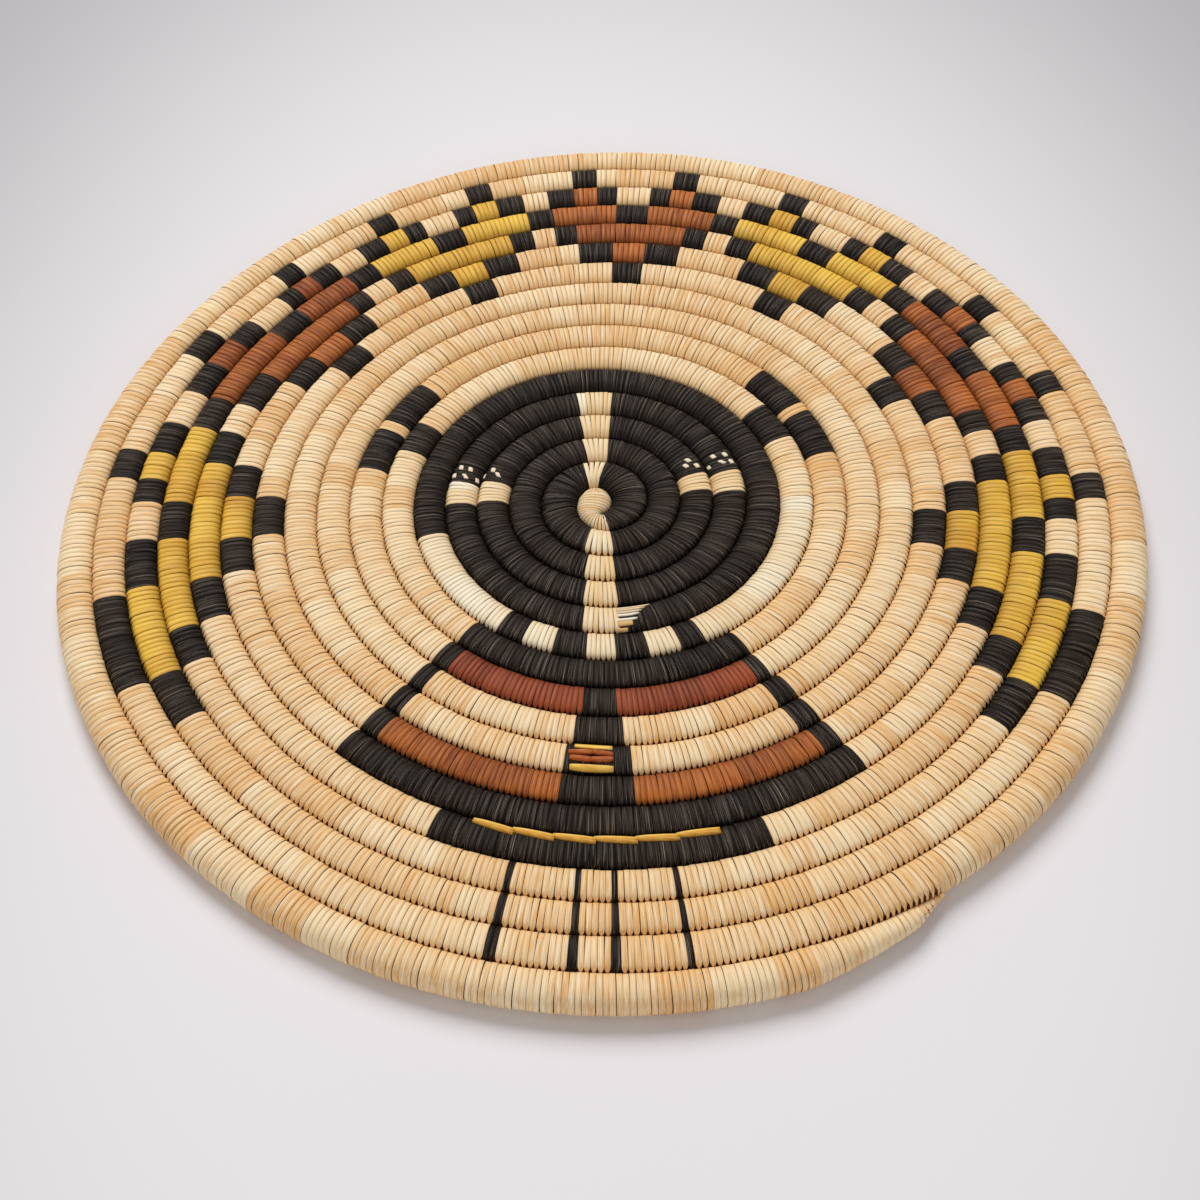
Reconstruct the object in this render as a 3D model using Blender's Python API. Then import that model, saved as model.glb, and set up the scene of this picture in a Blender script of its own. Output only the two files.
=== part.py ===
"""Coiled plaque: one grass bundle laid in a flat spiral and sewn with leaf splints.

The bundle starts at a small knot, runs anticlockwise seen from above and ends in a tapered tail
on the rim. Sewn splints wrap it all the way, and each run of them is a sleeve on the bundle.
Sizes are in metres, angles in degrees from +X, and places along the coil in turns: round 12 at
90 degrees is turn 12.25. The plaque lies flat on z = 0 with its middle over the origin.
"""

import math

import bmesh
import bpy
from mathutils import Vector

MM = 0.001

# The bundle and the splints that wrap it
BUNDLE_RADIUS = 4.15 * MM
SPLINT_WALL = 0.9 * MM
BORE_CLEARANCE = 0.3 * MM
ROW_GAP = 0.35 * MM
RUN_GAP = 0.3 * MM
COIL_RADIUS = BUNDLE_RADIUS + BORE_CLEARANCE + SPLINT_WALL
ROW_PITCH = 2 * COIL_RADIUS + ROW_GAP

# The spiral, in turns
START_REACH = 0.4
LEAVES_KNOT = 0.35
FREE_OF_KNOT = 0.75
START_TURN = 0.6
BUNDLE_START = 0.66
TAIL_TURN = 16.8
BUNDLE_END = 16.836
END_TURN = 16.842
TAIL_FRACTION = 0.36
STEPS_PER_TURN = 24
CUTS_PER_TURN = 120

# The hand-sewn shape: a flat side, a loose side, a pressed side, a full rim, a drifting centre
FLAT_SIDE_ANGLE = 143
FLAT_SIDE_SPREAD = 75
FLAT_SIDE_DEPTH = 8.3 * MM
FLAT_SIDE_START = 8.9
FLAT_SIDE_TURNS = 7.5
LOOSE_SIDE_ANGLE = 48
LOOSE_SIDE_SPREAD = 70
LOOSE_SIDE_RISE = 3.0 * MM
LOOSE_SIDE_TURN = 11.3
LOOSE_SIDE_TURNS = 3.2
PRESSED_SIDE_ANGLE = 213
PRESSED_SIDE_SPREAD = 48
PRESSED_SIDE_DEPTH = 1.2 * MM
PRESSED_SIDE_START = 12.0
PRESSED_SIDE_TURNS = 1.5
RIM_FULLNESS = 1.2 * MM
RIM_STARTS = 15.6
RIM_FULL = 15.83
DRIFT = Vector((-1.3 * MM, -0.9 * MM, 0))
DRIFT_TURNS = 5.0

# The start knot, a flattened button that the first turn closes round
KNOT_CENTRE = Vector((-3.75 * MM, -0.2 * MM, 0))
KNOT_HALF_WIDTH = 5.6 * MM
KNOT_HALF_DEPTH = 6.6 * MM
KNOT_SEAT = 0.15 * MM
KNOT_PROFILE = ((0.06, 0.55), (0.2, 0.86), (0.38, 1.0), (0.62, 1.0), (0.8, 0.86), (0.94, 0.55))

# The angle where the light start wraps end and the first black stitch lies
START_WRAPS_END = 282

# The light stripe through the black rounds: its two sides at the knot, and how far they flare
STRIPE_ROUNDS = 4
UPPER_STRIPE = (-0.9 * MM, 0.065, -4.8 * MM, -0.107)
LOWER_STRIPE = (1.0 * MM, 0.066, -5.8 * MM, -0.03)

# Light blocks let into the black rounds: first and last angle, by round
RIGHT_BLOCKS = {3: (8, 22), 4: (6, 18)}
LEFT_BLOCKS = {3: (167, 181), 4: (170, 182)}

# Where the outer rounds change colour at the front: first and last angle, by round
COLLAR = (196, 298)
FRONT_RUNS = {
    6: (232, 305, "black"),
    7: (231, 305, "red"),
    8: (231, 306, "natural"),
    9: (231, 306, "natural"),
    10: (231, 306, "rust"),
    11: (231, 306, "black"),
    12: (248, 290, "black"),
    13: (256, 281, "natural"),
    14: (256, 281, "natural"),
    15: (256, 281, "natural"),
    16: (256, 281, "natural"),
}

# The gold stitches laid over the belt
BELT_ROUND = 12
BELT_ANGLES = (252.8, 284.2)
BELT_STITCHES = 6
BELT_WIDTH = 2.8 * MM
BELT_THICKNESS = 0.8 * MM
BELT_SEAT = 0.3 * MM
BELT_TUCK = 0.55

# Sides of the sleeve's outside and of its bore, each turned so that the walls stay even
OUTSIDE_SIDES = 8
BORE_SIDES = 6

COLOURS = {
    "natural": ((0.72, 0.53, 0.29), 0.62),
    "black": ((0.022, 0.018, 0.015), 0.5),
    "rust": ((0.35, 0.11, 0.032), 0.6),
    "red": ((0.22, 0.045, 0.02), 0.6),
    "yellow": ((0.62, 0.36, 0.04), 0.55),
    "grass": ((0.42, 0.30, 0.14), 0.8),
}


def clear_scene():
    """Remove whatever the new scene holds."""
    for obj in list(bpy.data.objects):
        bpy.data.objects.remove(obj, do_unlink=True)


def splint_material(name):
    """The Principled material of one colour."""
    material = bpy.data.materials.get(name) or bpy.data.materials.new(name)
    material.use_nodes = True
    colour, roughness = COLOURS[name]
    shader = material.node_tree.nodes["Principled BSDF"]
    shader.inputs["Base Color"].default_value = (*colour, 1)
    shader.inputs["Roughness"].default_value = roughness
    shader.inputs["Metallic"].default_value = 0
    material.diffuse_color = (*colour, 1)
    return material


def add_object(name, bm, colour):
    """Turn a finished bmesh into a named object of one colour."""
    bmesh.ops.recalc_face_normals(bm, faces=bm.faces)
    mesh = bpy.data.meshes.new(name)
    bm.to_mesh(mesh)
    bm.free()
    mesh.materials.append(splint_material(colour))
    obj = bpy.data.objects.new(name, mesh)
    bpy.context.collection.objects.link(obj)
    return obj


def bump(offset, spread):
    """A smooth rise from 0 at the edges of a spread of degrees to 1 in its middle."""
    offset = (offset + 180) % 360 - 180
    if abs(offset) >= spread:
        return 0.0
    return 0.5 + 0.5 * math.cos(math.pi * offset / spread)


def share_of_way(turn, start, end):
    """A smooth rise from 0 at the start to 1 at the end of a stretch."""
    share = min(1.0, max(0.0, (turn - start) / (end - start)))
    return share * share * (3 - 2 * share)


def hand_shape(turn):
    """How far the hand-sewn coil lies outside an even spiral at this turn."""
    angle = turn * 360
    outward = max(0.0, (turn - FLAT_SIDE_START) / FLAT_SIDE_TURNS)
    flat = FLAT_SIDE_DEPTH * outward * bump(angle - FLAT_SIDE_ANGLE, FLAT_SIDE_SPREAD)
    middle = math.exp(-(((turn - LOOSE_SIDE_TURN) / LOOSE_SIDE_TURNS) ** 2))
    loose = LOOSE_SIDE_RISE * middle * bump(angle - LOOSE_SIDE_ANGLE, LOOSE_SIDE_SPREAD)
    outward = share_of_way(turn, PRESSED_SIDE_START, PRESSED_SIDE_START + PRESSED_SIDE_TURNS)
    pressed = PRESSED_SIDE_DEPTH * outward * bump(angle - PRESSED_SIDE_ANGLE, PRESSED_SIDE_SPREAD)
    return loose - flat - pressed + RIM_FULLNESS * share_of_way(turn, RIM_STARTS, RIM_FULL)


def knot_edge(turn):
    """A point on the knot's outline, which is the inner edge of the first turn."""
    angle = math.tau * turn
    return KNOT_CENTRE + Vector((KNOT_HALF_WIDTH * math.cos(angle), KNOT_HALF_DEPTH * math.sin(angle), 0))


def drift_at(turn):
    """How far the middle of the coil has slipped aside at this turn."""
    return DRIFT * math.exp(-((turn / DRIFT_TURNS) ** 4))


def even_edge(turn):
    """A point on the outer edge of the coil at this turn: the knot's side, then the spiral."""
    reach = ROW_PITCH * (turn + START_REACH) + hand_shape(turn)
    angle = math.tau * turn
    spiral = Vector((reach * math.cos(angle), reach * math.sin(angle), 0)) + drift_at(turn)
    return knot_edge(turn).lerp(spiral, share_of_way(turn, LEAVES_KNOT, FREE_OF_KNOT))


def stepped_edge(turn):
    """The same edge on the straight step between the two nearest stations."""
    step = math.floor(turn * STEPS_PER_TURN + 1e-9)
    part = turn * STEPS_PER_TURN - step
    first = even_edge(step / STEPS_PER_TURN)
    if part < 1e-9:
        return first
    return first.lerp(even_edge((step + 1) / STEPS_PER_TURN), part)


def tail_share(turn):
    """The share of its full size that the coil has left in the tail."""
    if turn <= TAIL_TURN:
        return 1.0
    along = min(1.0, (turn - TAIL_TURN) / (END_TURN - TAIL_TURN))
    return 1 - (1 - TAIL_FRACTION) * along


def section(turn):
    """The middle, outward direction, half width and half height of the sewn coil at a turn."""
    inner = stepped_edge(turn - 1)
    across = stepped_edge(turn) - inner
    share = tail_share(turn)
    half_width = (across.length * share - ROW_GAP) / 2
    half_height = COIL_RADIUS * share
    outward = across.normalized()
    middle = inner + outward * (across.length * share / 2)
    middle.z = COIL_RADIUS
    return middle, outward, half_width, min(half_height, 1.3 * half_width)


def rim_middle():
    """The middle of the box round the whole spiral, taken from its last turn."""
    turns = stations(END_TURN - 1.1, END_TURN)
    points = []
    for turn in turns:
        middle, outward, half_width, _ = section(turn)
        points.append(middle + outward * half_width)
    spans = [(min(values) + max(values)) / 2 for values in zip(*points)]
    return Vector((spans[0], spans[1], 0))


def ring_points(turn, sides, radius_in, round_ring):
    """A ring of points about the coil's middle, pulled in by radius_in from the outside."""
    middle, outward, half_width, half_height = section(turn)
    wide = half_width - radius_in
    high = half_height - radius_in
    if round_ring:
        wide = min(wide, high)
        high = wide
    turned = math.pi / sides if sides == OUTSIDE_SIDES else 0.0
    stretch = 1 / math.cos(math.pi / sides) if sides == OUTSIDE_SIDES else 1.0
    points = []
    for side in range(sides):
        angle = turned + math.tau * side / sides
        offset = outward * (wide * stretch * math.cos(angle))
        offset.z = high * stretch * math.sin(angle)
        points.append(middle + offset - PLAQUE_MIDDLE)
    return points


def stations(start, end):
    """The turns of the rings of a run: its ends, and every station between them."""
    first = math.floor(start * STEPS_PER_TURN + 1e-6) + 1
    last = math.ceil(end * STEPS_PER_TURN - 1e-6) - 1
    inside = [step / STEPS_PER_TURN for step in range(first, last + 1)]
    return [start] + inside + [end]


def add_tube(bm, turns, sides, radius_in, round_ring):
    """Add a tube's wall through the turns given and return its two end rings."""
    rings = []
    for turn in turns:
        points = ring_points(turn, sides, radius_in, round_ring)
        rings.append([bm.verts.new(point) for point in points])
    for ring, following in zip(rings, rings[1:]):
        for side in range(sides):
            after = (side + 1) % sides
            bm.faces.new((ring[side], ring[after], following[after], following[side]))
    return rings[0], rings[-1]


def close_between(bm, outside, bore):
    """Close the end of a sleeve with a fan of triangles from its outside ring to its bore ring."""
    outer = 0
    inner = 0
    while outer < len(outside) or inner < len(bore):
        here_out = outside[outer % len(outside)]
        here_in = bore[inner % len(bore)]
        next_out = (outer + 1.5) / len(outside) if outer < len(outside) else math.inf
        next_in = (inner + 1) / len(bore) if inner < len(bore) else math.inf
        if next_out < next_in:
            outer += 1
            bm.faces.new((here_out, outside[outer % len(outside)], here_in))
        else:
            inner += 1
            bm.faces.new((here_out, bore[inner % len(bore)], here_in))


def path_length_per_turn(turn):
    """The way along the coil's middle for one turn at this place."""
    middle = section(turn)[0]
    return math.tau * max(middle.xy.length, ROW_PITCH / 2)


def sew_run(name, start, end, colour, bore_start=None, bore_end=None):
    """One run of stitches: a sleeve on the bundle, closed where the bundle starts or ends in it."""
    start += RUN_GAP / 2 / path_length_per_turn(start)
    end -= RUN_GAP / 2 / path_length_per_turn(end)
    bm = bmesh.new()
    outside = add_tube(bm, stations(start, end), OUTSIDE_SIDES, 0, False)
    bore_turns = stations(bore_start or start, bore_end or end)
    bore = add_tube(bm, bore_turns, BORE_SIDES, SPLINT_WALL, True)
    for outside_ring, bore_ring, blind in zip(outside, bore, (bore_start, bore_end)):
        if blind:
            bm.faces.new(outside_ring)
            bm.faces.new(bore_ring)
        else:
            close_between(bm, outside_ring, bore_ring)
    return add_object(name, bm, colour)


def cut(turn):
    """A colour change moved to the nearest place where the coil can be cut."""
    return round(turn * CUTS_PER_TURN) / CUTS_PER_TURN


def at(round_number, angle):
    """The turn of an angle on a round, kept on the grid of cuts."""
    return cut(round_number + angle / 360)


def stripe_angles(turn_near, stripe, lower):
    """The first and last angle of the light stripe on the round near this turn."""
    right, right_flare, left, left_flare = stripe
    reach = ROW_PITCH * (turn_near + START_REACH - 0.5)
    angles = []
    for place, flare in ((right, right_flare), (left, left_flare)):
        across = place + flare * reach - drift_at(turn_near).x
        angle = math.degrees(math.acos(across / reach))
        angles.append(360 - angle if lower else angle)
    return angles[0], angles[1]


def sew_black_rounds():
    """The black rounds with the light stripe above and below the knot, and the light blocks."""
    first_cut = at(0, START_WRAPS_END)
    bore_start = BUNDLE_START - BORE_CLEARANCE / path_length_per_turn(BUNDLE_START)
    sew_run("start_wraps", START_TURN, first_cut, "natural", bore_start=bore_start)
    last_cut = first_cut
    for number in range(1, STRIPE_ROUNDS + 1):
        upper_right, upper_left = stripe_angles(number + 0.25, UPPER_STRIPE, False)
        lower_right, lower_left = stripe_angles(number + 0.75, LOWER_STRIPE, True)
        last_cut = sew_black_side(f"right_black_{number}", number, last_cut, upper_right, RIGHT_BLOCKS)
        stripe_end = at(number, upper_left)
        sew_run(f"upper_stripe_{number}", last_cut, stripe_end, "natural")
        last_cut = sew_black_side(f"left_black_{number}", number, stripe_end, lower_left, LEFT_BLOCKS)
        stripe_end = at(number, lower_right)
        sew_run(f"lower_stripe_{number}", last_cut, stripe_end, "natural")
        last_cut = stripe_end
    return last_cut


def sew_black_side(name, number, start, last_angle, blocks):
    """One side of a black round up to an angle, with its light block if the round has one."""
    end = at(number, last_angle)
    if number not in blocks:
        sew_run(name, start, end, "black")
        return end
    first, last = (at(number, angle) for angle in blocks[number])
    sew_run(f"{name}_before_block", start, first, "black")
    sew_run(name.replace("black", "block"), first, last, "natural")
    sew_run(f"{name}_after_block", last, end, "black")
    return end


def sew_outer_rounds(start):
    """The black cap over the blocks, the collar below them and the rounds out to the rim."""
    number = STRIPE_ROUNDS + 1
    cap_top = at(number, 90)
    collar_start, collar_end = (at(number, angle) for angle in COLLAR)
    sew_run("cap_right", start, cap_top, "black")
    sew_run("cap_left", cap_top, collar_start, "black")
    sew_run("collar", collar_start, collar_end, "natural")
    last_cut = collar_end
    for number, (first, last, colour) in FRONT_RUNS.items():
        front_start = at(number, first)
        front_end = at(number, last)
        sew_run(f"field_{number}", last_cut, front_start, "natural")
        sew_run(f"front_{number}", front_start, front_end, colour)
        last_cut = front_end
    return last_cut


def sew_rim(start):
    """The last of the rim and the tapered tail that closes over the bundle's end."""
    tail_start = cut(TAIL_TURN)
    bore_end = BUNDLE_END + BORE_CLEARANCE / path_length_per_turn(BUNDLE_END)
    sew_run("rim_before_tail", start, tail_start, "natural")
    sew_run("rim_tail", tail_start, END_TURN, "natural", bore_end=bore_end)


def make_bundle():
    """The grass bundle, one unbroken tube from the knot to the tail."""
    bm = bmesh.new()
    turns = stations(BUNDLE_START, BUNDLE_END)
    ends = add_tube(bm, turns, BORE_SIDES, SPLINT_WALL + BORE_CLEARANCE, True)
    for ring in ends:
        bm.faces.new(ring)
    return add_object("foundation_bundle", bm, "grass")


def bundle_self_gap():
    """The least distance between the bundle's surface and its own next turn."""
    least = math.inf
    for turn in stations(BUNDLE_START, BUNDLE_END - 1):
        inner = ring_points(turn, BORE_SIDES, SPLINT_WALL + BORE_CLEARANCE, True)
        outer = ring_points(turn + 1, BORE_SIDES, SPLINT_WALL + BORE_CLEARANCE, True)
        least = min(least, *((a - b).length for a in inner for b in outer))
    return least


def make_knot():
    """The start knot: a flattened button inside the first turn."""
    bm = bmesh.new()
    rings = []
    for height, share in KNOT_PROFILE:
        ring = []
        for step in range(STEPS_PER_TURN):
            side = knot_edge(step / STEPS_PER_TURN) - KNOT_CENTRE
            side = side.normalized() * (side.length - KNOT_SEAT) * share
            point = KNOT_CENTRE + side - PLAQUE_MIDDLE
            point.z = 2 * COIL_RADIUS * height
            ring.append(bm.verts.new(point))
        rings.append(ring)
    for ring, above in zip(rings, rings[1:]):
        for step in range(STEPS_PER_TURN):
            after = (step + 1) % STEPS_PER_TURN
            bm.faces.new((ring[step], ring[after], above[after], above[step]))
    bm.faces.new(rings[0])
    bm.faces.new(rings[-1])
    return add_object("start_knot", bm, "natural")


def belt_corners(turn, narrow):
    """Four corners of a laid stitch's section, on the inner upper face of the belt round."""
    middle, outward, _, _ = section(turn)
    up = Vector((0, 0, 1))
    away = (up - outward).normalized()
    along_face = (up + outward).normalized()
    half_width = BELT_WIDTH / 2 * narrow
    corners = []
    for height, side in ((0, -1), (0, 1), (1, 1), (1, -1)):
        lift = COIL_RADIUS + BELT_SEAT + height * BELT_THICKNESS
        corners.append(middle + away * lift + along_face * side * half_width - PLAQUE_MIDDLE)
    return corners


def lay_belt():
    """The row of gold stitches along the valley below the belt round."""
    first, last = (BELT_ROUND + angle / 360 for angle in BELT_ANGLES)
    length = (last - first) / BELT_STITCHES
    for number in range(BELT_STITCHES):
        start = first + number * length
        end = start + length
        end -= RUN_GAP / path_length_per_turn(end)
        turns = stations(start, end)
        bm = bmesh.new()
        rings = []
        for turn in turns:
            narrow = BELT_TUCK + (1 - BELT_TUCK) * (turn - start) / (end - start)
            rings.append([bm.verts.new(point) for point in belt_corners(turn, narrow)])
        for ring, following in zip(rings, rings[1:]):
            for side in range(4):
                after = (side + 1) % 4
                bm.faces.new((ring[side], ring[after], following[after], following[side]))
        bm.faces.new(rings[0])
        bm.faces.new(rings[-1])
        add_object(f"belt_stitch_{number + 1}", bm, "yellow")


PLAQUE_MIDDLE = rim_middle()


def main():
    """Build the whole plaque."""
    clear_scene()
    make_knot()
    make_bundle()
    black_end = sew_black_rounds()
    front_end = sew_outer_rounds(black_end)
    sew_rim(front_end)
    lay_belt()
    print(f"least gap of the bundle to itself: {bundle_self_gap() / MM:.2f} mm")


main()
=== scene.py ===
"""Looks of the coiled plaque: leaf splints sewn over a grass bundle, stitch by stitch.

A place along the coil is given in turns: round 12 at 90 degrees is turn 12.25, and angles go
anticlockwise from +X seen from above. A place round the bundle is an angle too, from 0 degrees on
the outward side over 90 degrees on the crown. All sizes are in metres.
"""

import logging
import math
from dataclasses import dataclass, field
from enum import Enum

import bmesh
import bpy
import numpy as np
from mathutils import Matrix, Vector


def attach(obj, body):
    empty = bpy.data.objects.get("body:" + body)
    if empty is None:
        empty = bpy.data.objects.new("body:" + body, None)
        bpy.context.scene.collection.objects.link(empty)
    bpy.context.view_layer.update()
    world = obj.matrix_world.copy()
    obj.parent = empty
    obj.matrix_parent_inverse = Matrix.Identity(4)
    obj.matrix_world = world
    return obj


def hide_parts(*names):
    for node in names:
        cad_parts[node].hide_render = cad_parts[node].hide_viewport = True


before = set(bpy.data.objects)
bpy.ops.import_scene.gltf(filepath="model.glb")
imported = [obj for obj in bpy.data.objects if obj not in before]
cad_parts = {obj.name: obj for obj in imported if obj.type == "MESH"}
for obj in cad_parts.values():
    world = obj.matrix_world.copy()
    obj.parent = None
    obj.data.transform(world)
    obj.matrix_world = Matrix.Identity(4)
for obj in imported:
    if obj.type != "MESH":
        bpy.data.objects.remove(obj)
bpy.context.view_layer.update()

MM = 0.001
BODY = "root"
Socket = bpy.types.NodeSocket
Outputs = bpy.types.NodeOutputs
Material = bpy.types.Material
Object = bpy.types.Object
Mesh = bpy.types.Mesh
Colour = tuple[float, float, float]
# A value at a strip's start, in its middle and at its end
AlongStrip = tuple[float, float, float]
log = logging.getLogger("coiled_plaque")


class Splint(Enum):
    """The colours of leaf splint, each with the name of its material slot."""

    NATURAL = "natural_splint"
    BLACK = "black_splint"
    RUST = "rust_splint"
    RED = "red_splint"
    YELLOW = "yellow_splint"


class StitchForm(Enum):
    """How a stitch goes round the bundle."""

    SEWN = "sewn through the row inside and held by the row outside"
    RIM = "full width on its outer side, where no row follows"


# The line of the coil


@dataclass(frozen=True)
class CoilOutline:
    """The outline of the sewn coil, a squared circle.

    Attributes:
        outer: Its power on the outward side, where 2 is round and more is squarer.
        inner: The same on the inner side.
    """

    outer: float = 3.3
    inner: float = 2.7

    def at(self, place: np.ndarray) -> tuple[np.ndarray, np.ndarray, np.ndarray, np.ndarray]:
        """Give places on the outline of a coil of half width and half height 1.

        Args:
            place: Angles round the bundle in degrees.

        Returns:
            The places outward and upward, and the slopes of the normals outward and upward.
        """
        flat = np.cos(np.radians(place))
        high = np.sin(np.radians(place))
        power = 2 / np.where(flat > 0, self.outer, self.inner)
        return (
            np.sign(flat) * np.abs(flat) ** power, np.sign(high) * np.abs(high) ** power,
            np.sign(flat) * np.abs(flat) ** (2 - power), np.sign(high) * np.abs(high) ** (2 - power),
        )


@dataclass
class Section:
    """The sewn coil cut across at some turns.

    Attributes:
        middle: Middle of the coil, one row of x and y for each turn.
        outward: Direction away from the plaque's middle, one row of x and y for each turn.
        half_width: Half of the coil's width, one number for each turn.
        half_height: Half of the coil's height, one number for each turn.
        level: Height of the coil's middle above the floor.
    """

    middle: np.ndarray
    outward: np.ndarray
    half_width: np.ndarray
    half_height: np.ndarray
    level: float

    def surface(self, place: np.ndarray) -> tuple[np.ndarray, np.ndarray, np.ndarray]:
        """Give points on the coil's surface.

        Args:
            place: Angle round the bundle in degrees, one for each turn.

        Returns:
            The points, the surface's normals there, and the directions round the bundle.
        """
        flat, high, slope, rise = CoilOutline().at(place)
        slope, rise = slope / self.half_width, rise / self.half_height
        steep = np.hypot(slope, rise)
        slope, rise = slope / steep, rise / steep
        normal = np.column_stack([self.outward * slope[:, None], rise])
        around = np.column_stack([-self.outward * rise[:, None], slope])
        points = np.column_stack([
            self.middle + self.outward * (self.half_width * flat)[:, None],
            self.level + self.half_height * high,
        ])
        return points, normal, around


def share_of_way(turn: np.ndarray, start: float, end: float) -> np.ndarray:
    """Give a smooth rise from 0 at the start to 1 at the end of a stretch."""
    share = np.clip((turn - start) / (end - start), 0, 1)
    return share * share * (3 - 2 * share)


@dataclass(frozen=True)
class CoilShape:
    """The line of the coil: an even spiral, pulled about a little by the hand that sewed it.

    Attributes:
        pitch: Width of one round.
        radius: Half of the coil's height.
        row_gap: Clearance between two rounds.
        origin: Where the spiral's middle lies.
        start_reach: Reach of the coil's outer edge at turn 0, in rounds.
        leaves_knot: Turn where the edge leaves the knot's side.
        free_of_knot: Turn from which it follows the spiral.
        flat_side: Middle angle, spread and depth of the side that grew flat.
        flat_from: Turn where that begins, and the turns that it takes to its full depth.
        loose_side: Middle angle, spread and rise of the side that was sewn loosely.
        loose_at: Turn where that is loosest, and how far it spreads in turns.
        pressed_side: Middle angle, spread and depth of the side that is pressed in.
        pressed_from: Turns where that begins and where it is full.
        rim_fullness: How much fuller the rim is.
        rim_from: Turns where that begins and where it is full.
        drift: How far the first rounds slipped from the middle.
        drift_turns: Turns over which the slip fades.
        knot_centre: Where the knot's middle lies from the spiral's.
        knot_half: The knot's half width and half depth.
        start: Turn of the first stitch.
        tail_start: Turn where the tail begins to thin.
        end: Turn where the tail ends.
        tail_fraction: The tail's width at its end, as a share.
        tail_closes: Turns where its tip begins to close and is closed, and the share that it loses.
        upright: The coil's most height, as a share of its width.
    """

    pitch: float = 11.05 * MM
    radius: float = 5.35 * MM
    row_gap: float = 0.12 * MM
    origin: tuple[float, float] = (0.4435 * MM, 3.5192 * MM)
    start_reach: float = 0.4
    leaves_knot: float = 0.35
    free_of_knot: float = 0.75
    flat_side: tuple[float, float, float] = (143, 75, 8.3 * MM)
    flat_from: tuple[float, float] = (8.9, 7.5)
    loose_side: tuple[float, float, float] = (48, 70, 3.0 * MM)
    loose_at: tuple[float, float] = (11.3, 3.2)
    pressed_side: tuple[float, float, float] = (213, 48, 1.2 * MM)
    pressed_from: tuple[float, float] = (12.0, 13.5)
    rim_fullness: float = 1.2 * MM
    rim_from: tuple[float, float] = (15.6, 15.83)
    drift: tuple[float, float] = (-1.3 * MM, -0.9 * MM)
    drift_turns: float = 5.0
    knot_centre: tuple[float, float] = (-3.75 * MM, -0.2 * MM)
    knot_half: tuple[float, float] = (5.6 * MM, 6.6 * MM)
    start: float = 0.783
    tail_start: float = 16.8
    end: float = 16.842
    tail_fraction: float = 0.36
    tail_closes: tuple[float, float, float] = (16.830, 16.842, 0.62)
    upright: float = 1.3

    def hand_shape(self, turn: np.ndarray) -> np.ndarray:
        """Give how far the coil lies outside an even spiral.

        Args:
            turn: The turns to give it at.

        Returns:
            The distances, one for each turn.
        """

        def bump(middle: float, spread: float) -> np.ndarray:
            """Give a smooth rise on one side of the plaque.

            Args:
                middle: The angle where it is 1.
                spread: How far to each side it reaches, in degrees.

            Returns:
                The rise at each turn, from 0 to 1.
            """
            offset = (turn * 360 - middle + 180) % 360 - 180
            rise = 0.5 + 0.5 * np.cos(np.pi * offset / spread)
            return np.where(np.abs(offset) < spread, rise, 0)

        angle, spread, depth = self.flat_side
        outward = np.maximum(0, (turn - self.flat_from[0]) / self.flat_from[1])
        flat = depth * outward * bump(angle, spread)
        angle, spread, rise = self.loose_side
        middle = np.exp(-(((turn - self.loose_at[0]) / self.loose_at[1]) ** 2))
        loose = rise * middle * bump(angle, spread)
        angle, spread, depth = self.pressed_side
        pressed = depth * share_of_way(turn, *self.pressed_from) * bump(angle, spread)
        return loose - flat - pressed + self.rim_fullness * share_of_way(turn, *self.rim_from)

    def edge(self, turn: np.ndarray) -> np.ndarray:
        """Give the coil's outer edge: the knot's side first, then the spiral.

        Args:
            turn: The turns to give it at.

        Returns:
            One row of x and y for each turn, from the spiral's middle.
        """
        angle = math.tau * turn
        way = np.column_stack([np.cos(angle), np.sin(angle)])
        knot = np.array(self.knot_centre) + way * np.array(self.knot_half)
        reach = self.pitch * (turn + self.start_reach) + self.hand_shape(turn)
        fade = np.exp(-((turn / self.drift_turns) ** 4))
        spiral = way * reach[:, None] + np.array(self.drift) * fade[:, None]
        share = share_of_way(turn, self.leaves_knot, self.free_of_knot)[:, None]
        return knot * (1 - share) + spiral * share

    def section(self, turn: np.ndarray) -> Section:
        """Cut the coil across.

        Args:
            turn: The turns to cut it at.

        Returns:
            The cuts.
        """
        turn = np.atleast_1d(np.asarray(turn, float))
        inner = self.edge(turn - 1)
        across = self.edge(turn) - inner
        width = np.linalg.norm(across, axis=1)
        outward = across / width[:, None]
        along = np.clip((turn - self.tail_start) / (self.end - self.tail_start), 0, 1)
        share = 1 - (1 - self.tail_fraction) * along
        first, last, lost = self.tail_closes
        share = share * (1 - lost * share_of_way(turn, first, last))
        half_width = (width * share - self.row_gap) / 2
        half_height = np.minimum(self.radius * share, self.upright * half_width)
        middle = inner + outward * (width * share / 2)[:, None] + np.array(self.origin)
        return Section(middle, outward, half_width, half_height, self.radius)


class CoilRuler:
    """Measures lengths along the middle of the coil."""

    STEPS_PER_TURN = 720

    def __init__(self, shape: CoilShape) -> None:
        """Walk the coil once.

        Args:
            shape: The coil to measure.
        """
        count = math.ceil((shape.end - shape.start) * self.STEPS_PER_TURN)
        self.turns = np.linspace(shape.start, shape.end, count + 1)
        middle = shape.section(self.turns).middle
        steps = np.linalg.norm(np.diff(middle, axis=0), axis=1)
        self.lengths = np.concatenate([[0], np.cumsum(steps)])

    def length_at(self, turn: float) -> float:
        """Give the length from the start to a turn."""
        return float(np.interp(turn, self.turns, self.lengths))

    def turns_at(self, lengths: np.ndarray) -> np.ndarray:
        """Give the turns at some lengths from the start."""
        return np.interp(lengths, self.lengths, self.turns)


# The pattern


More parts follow.
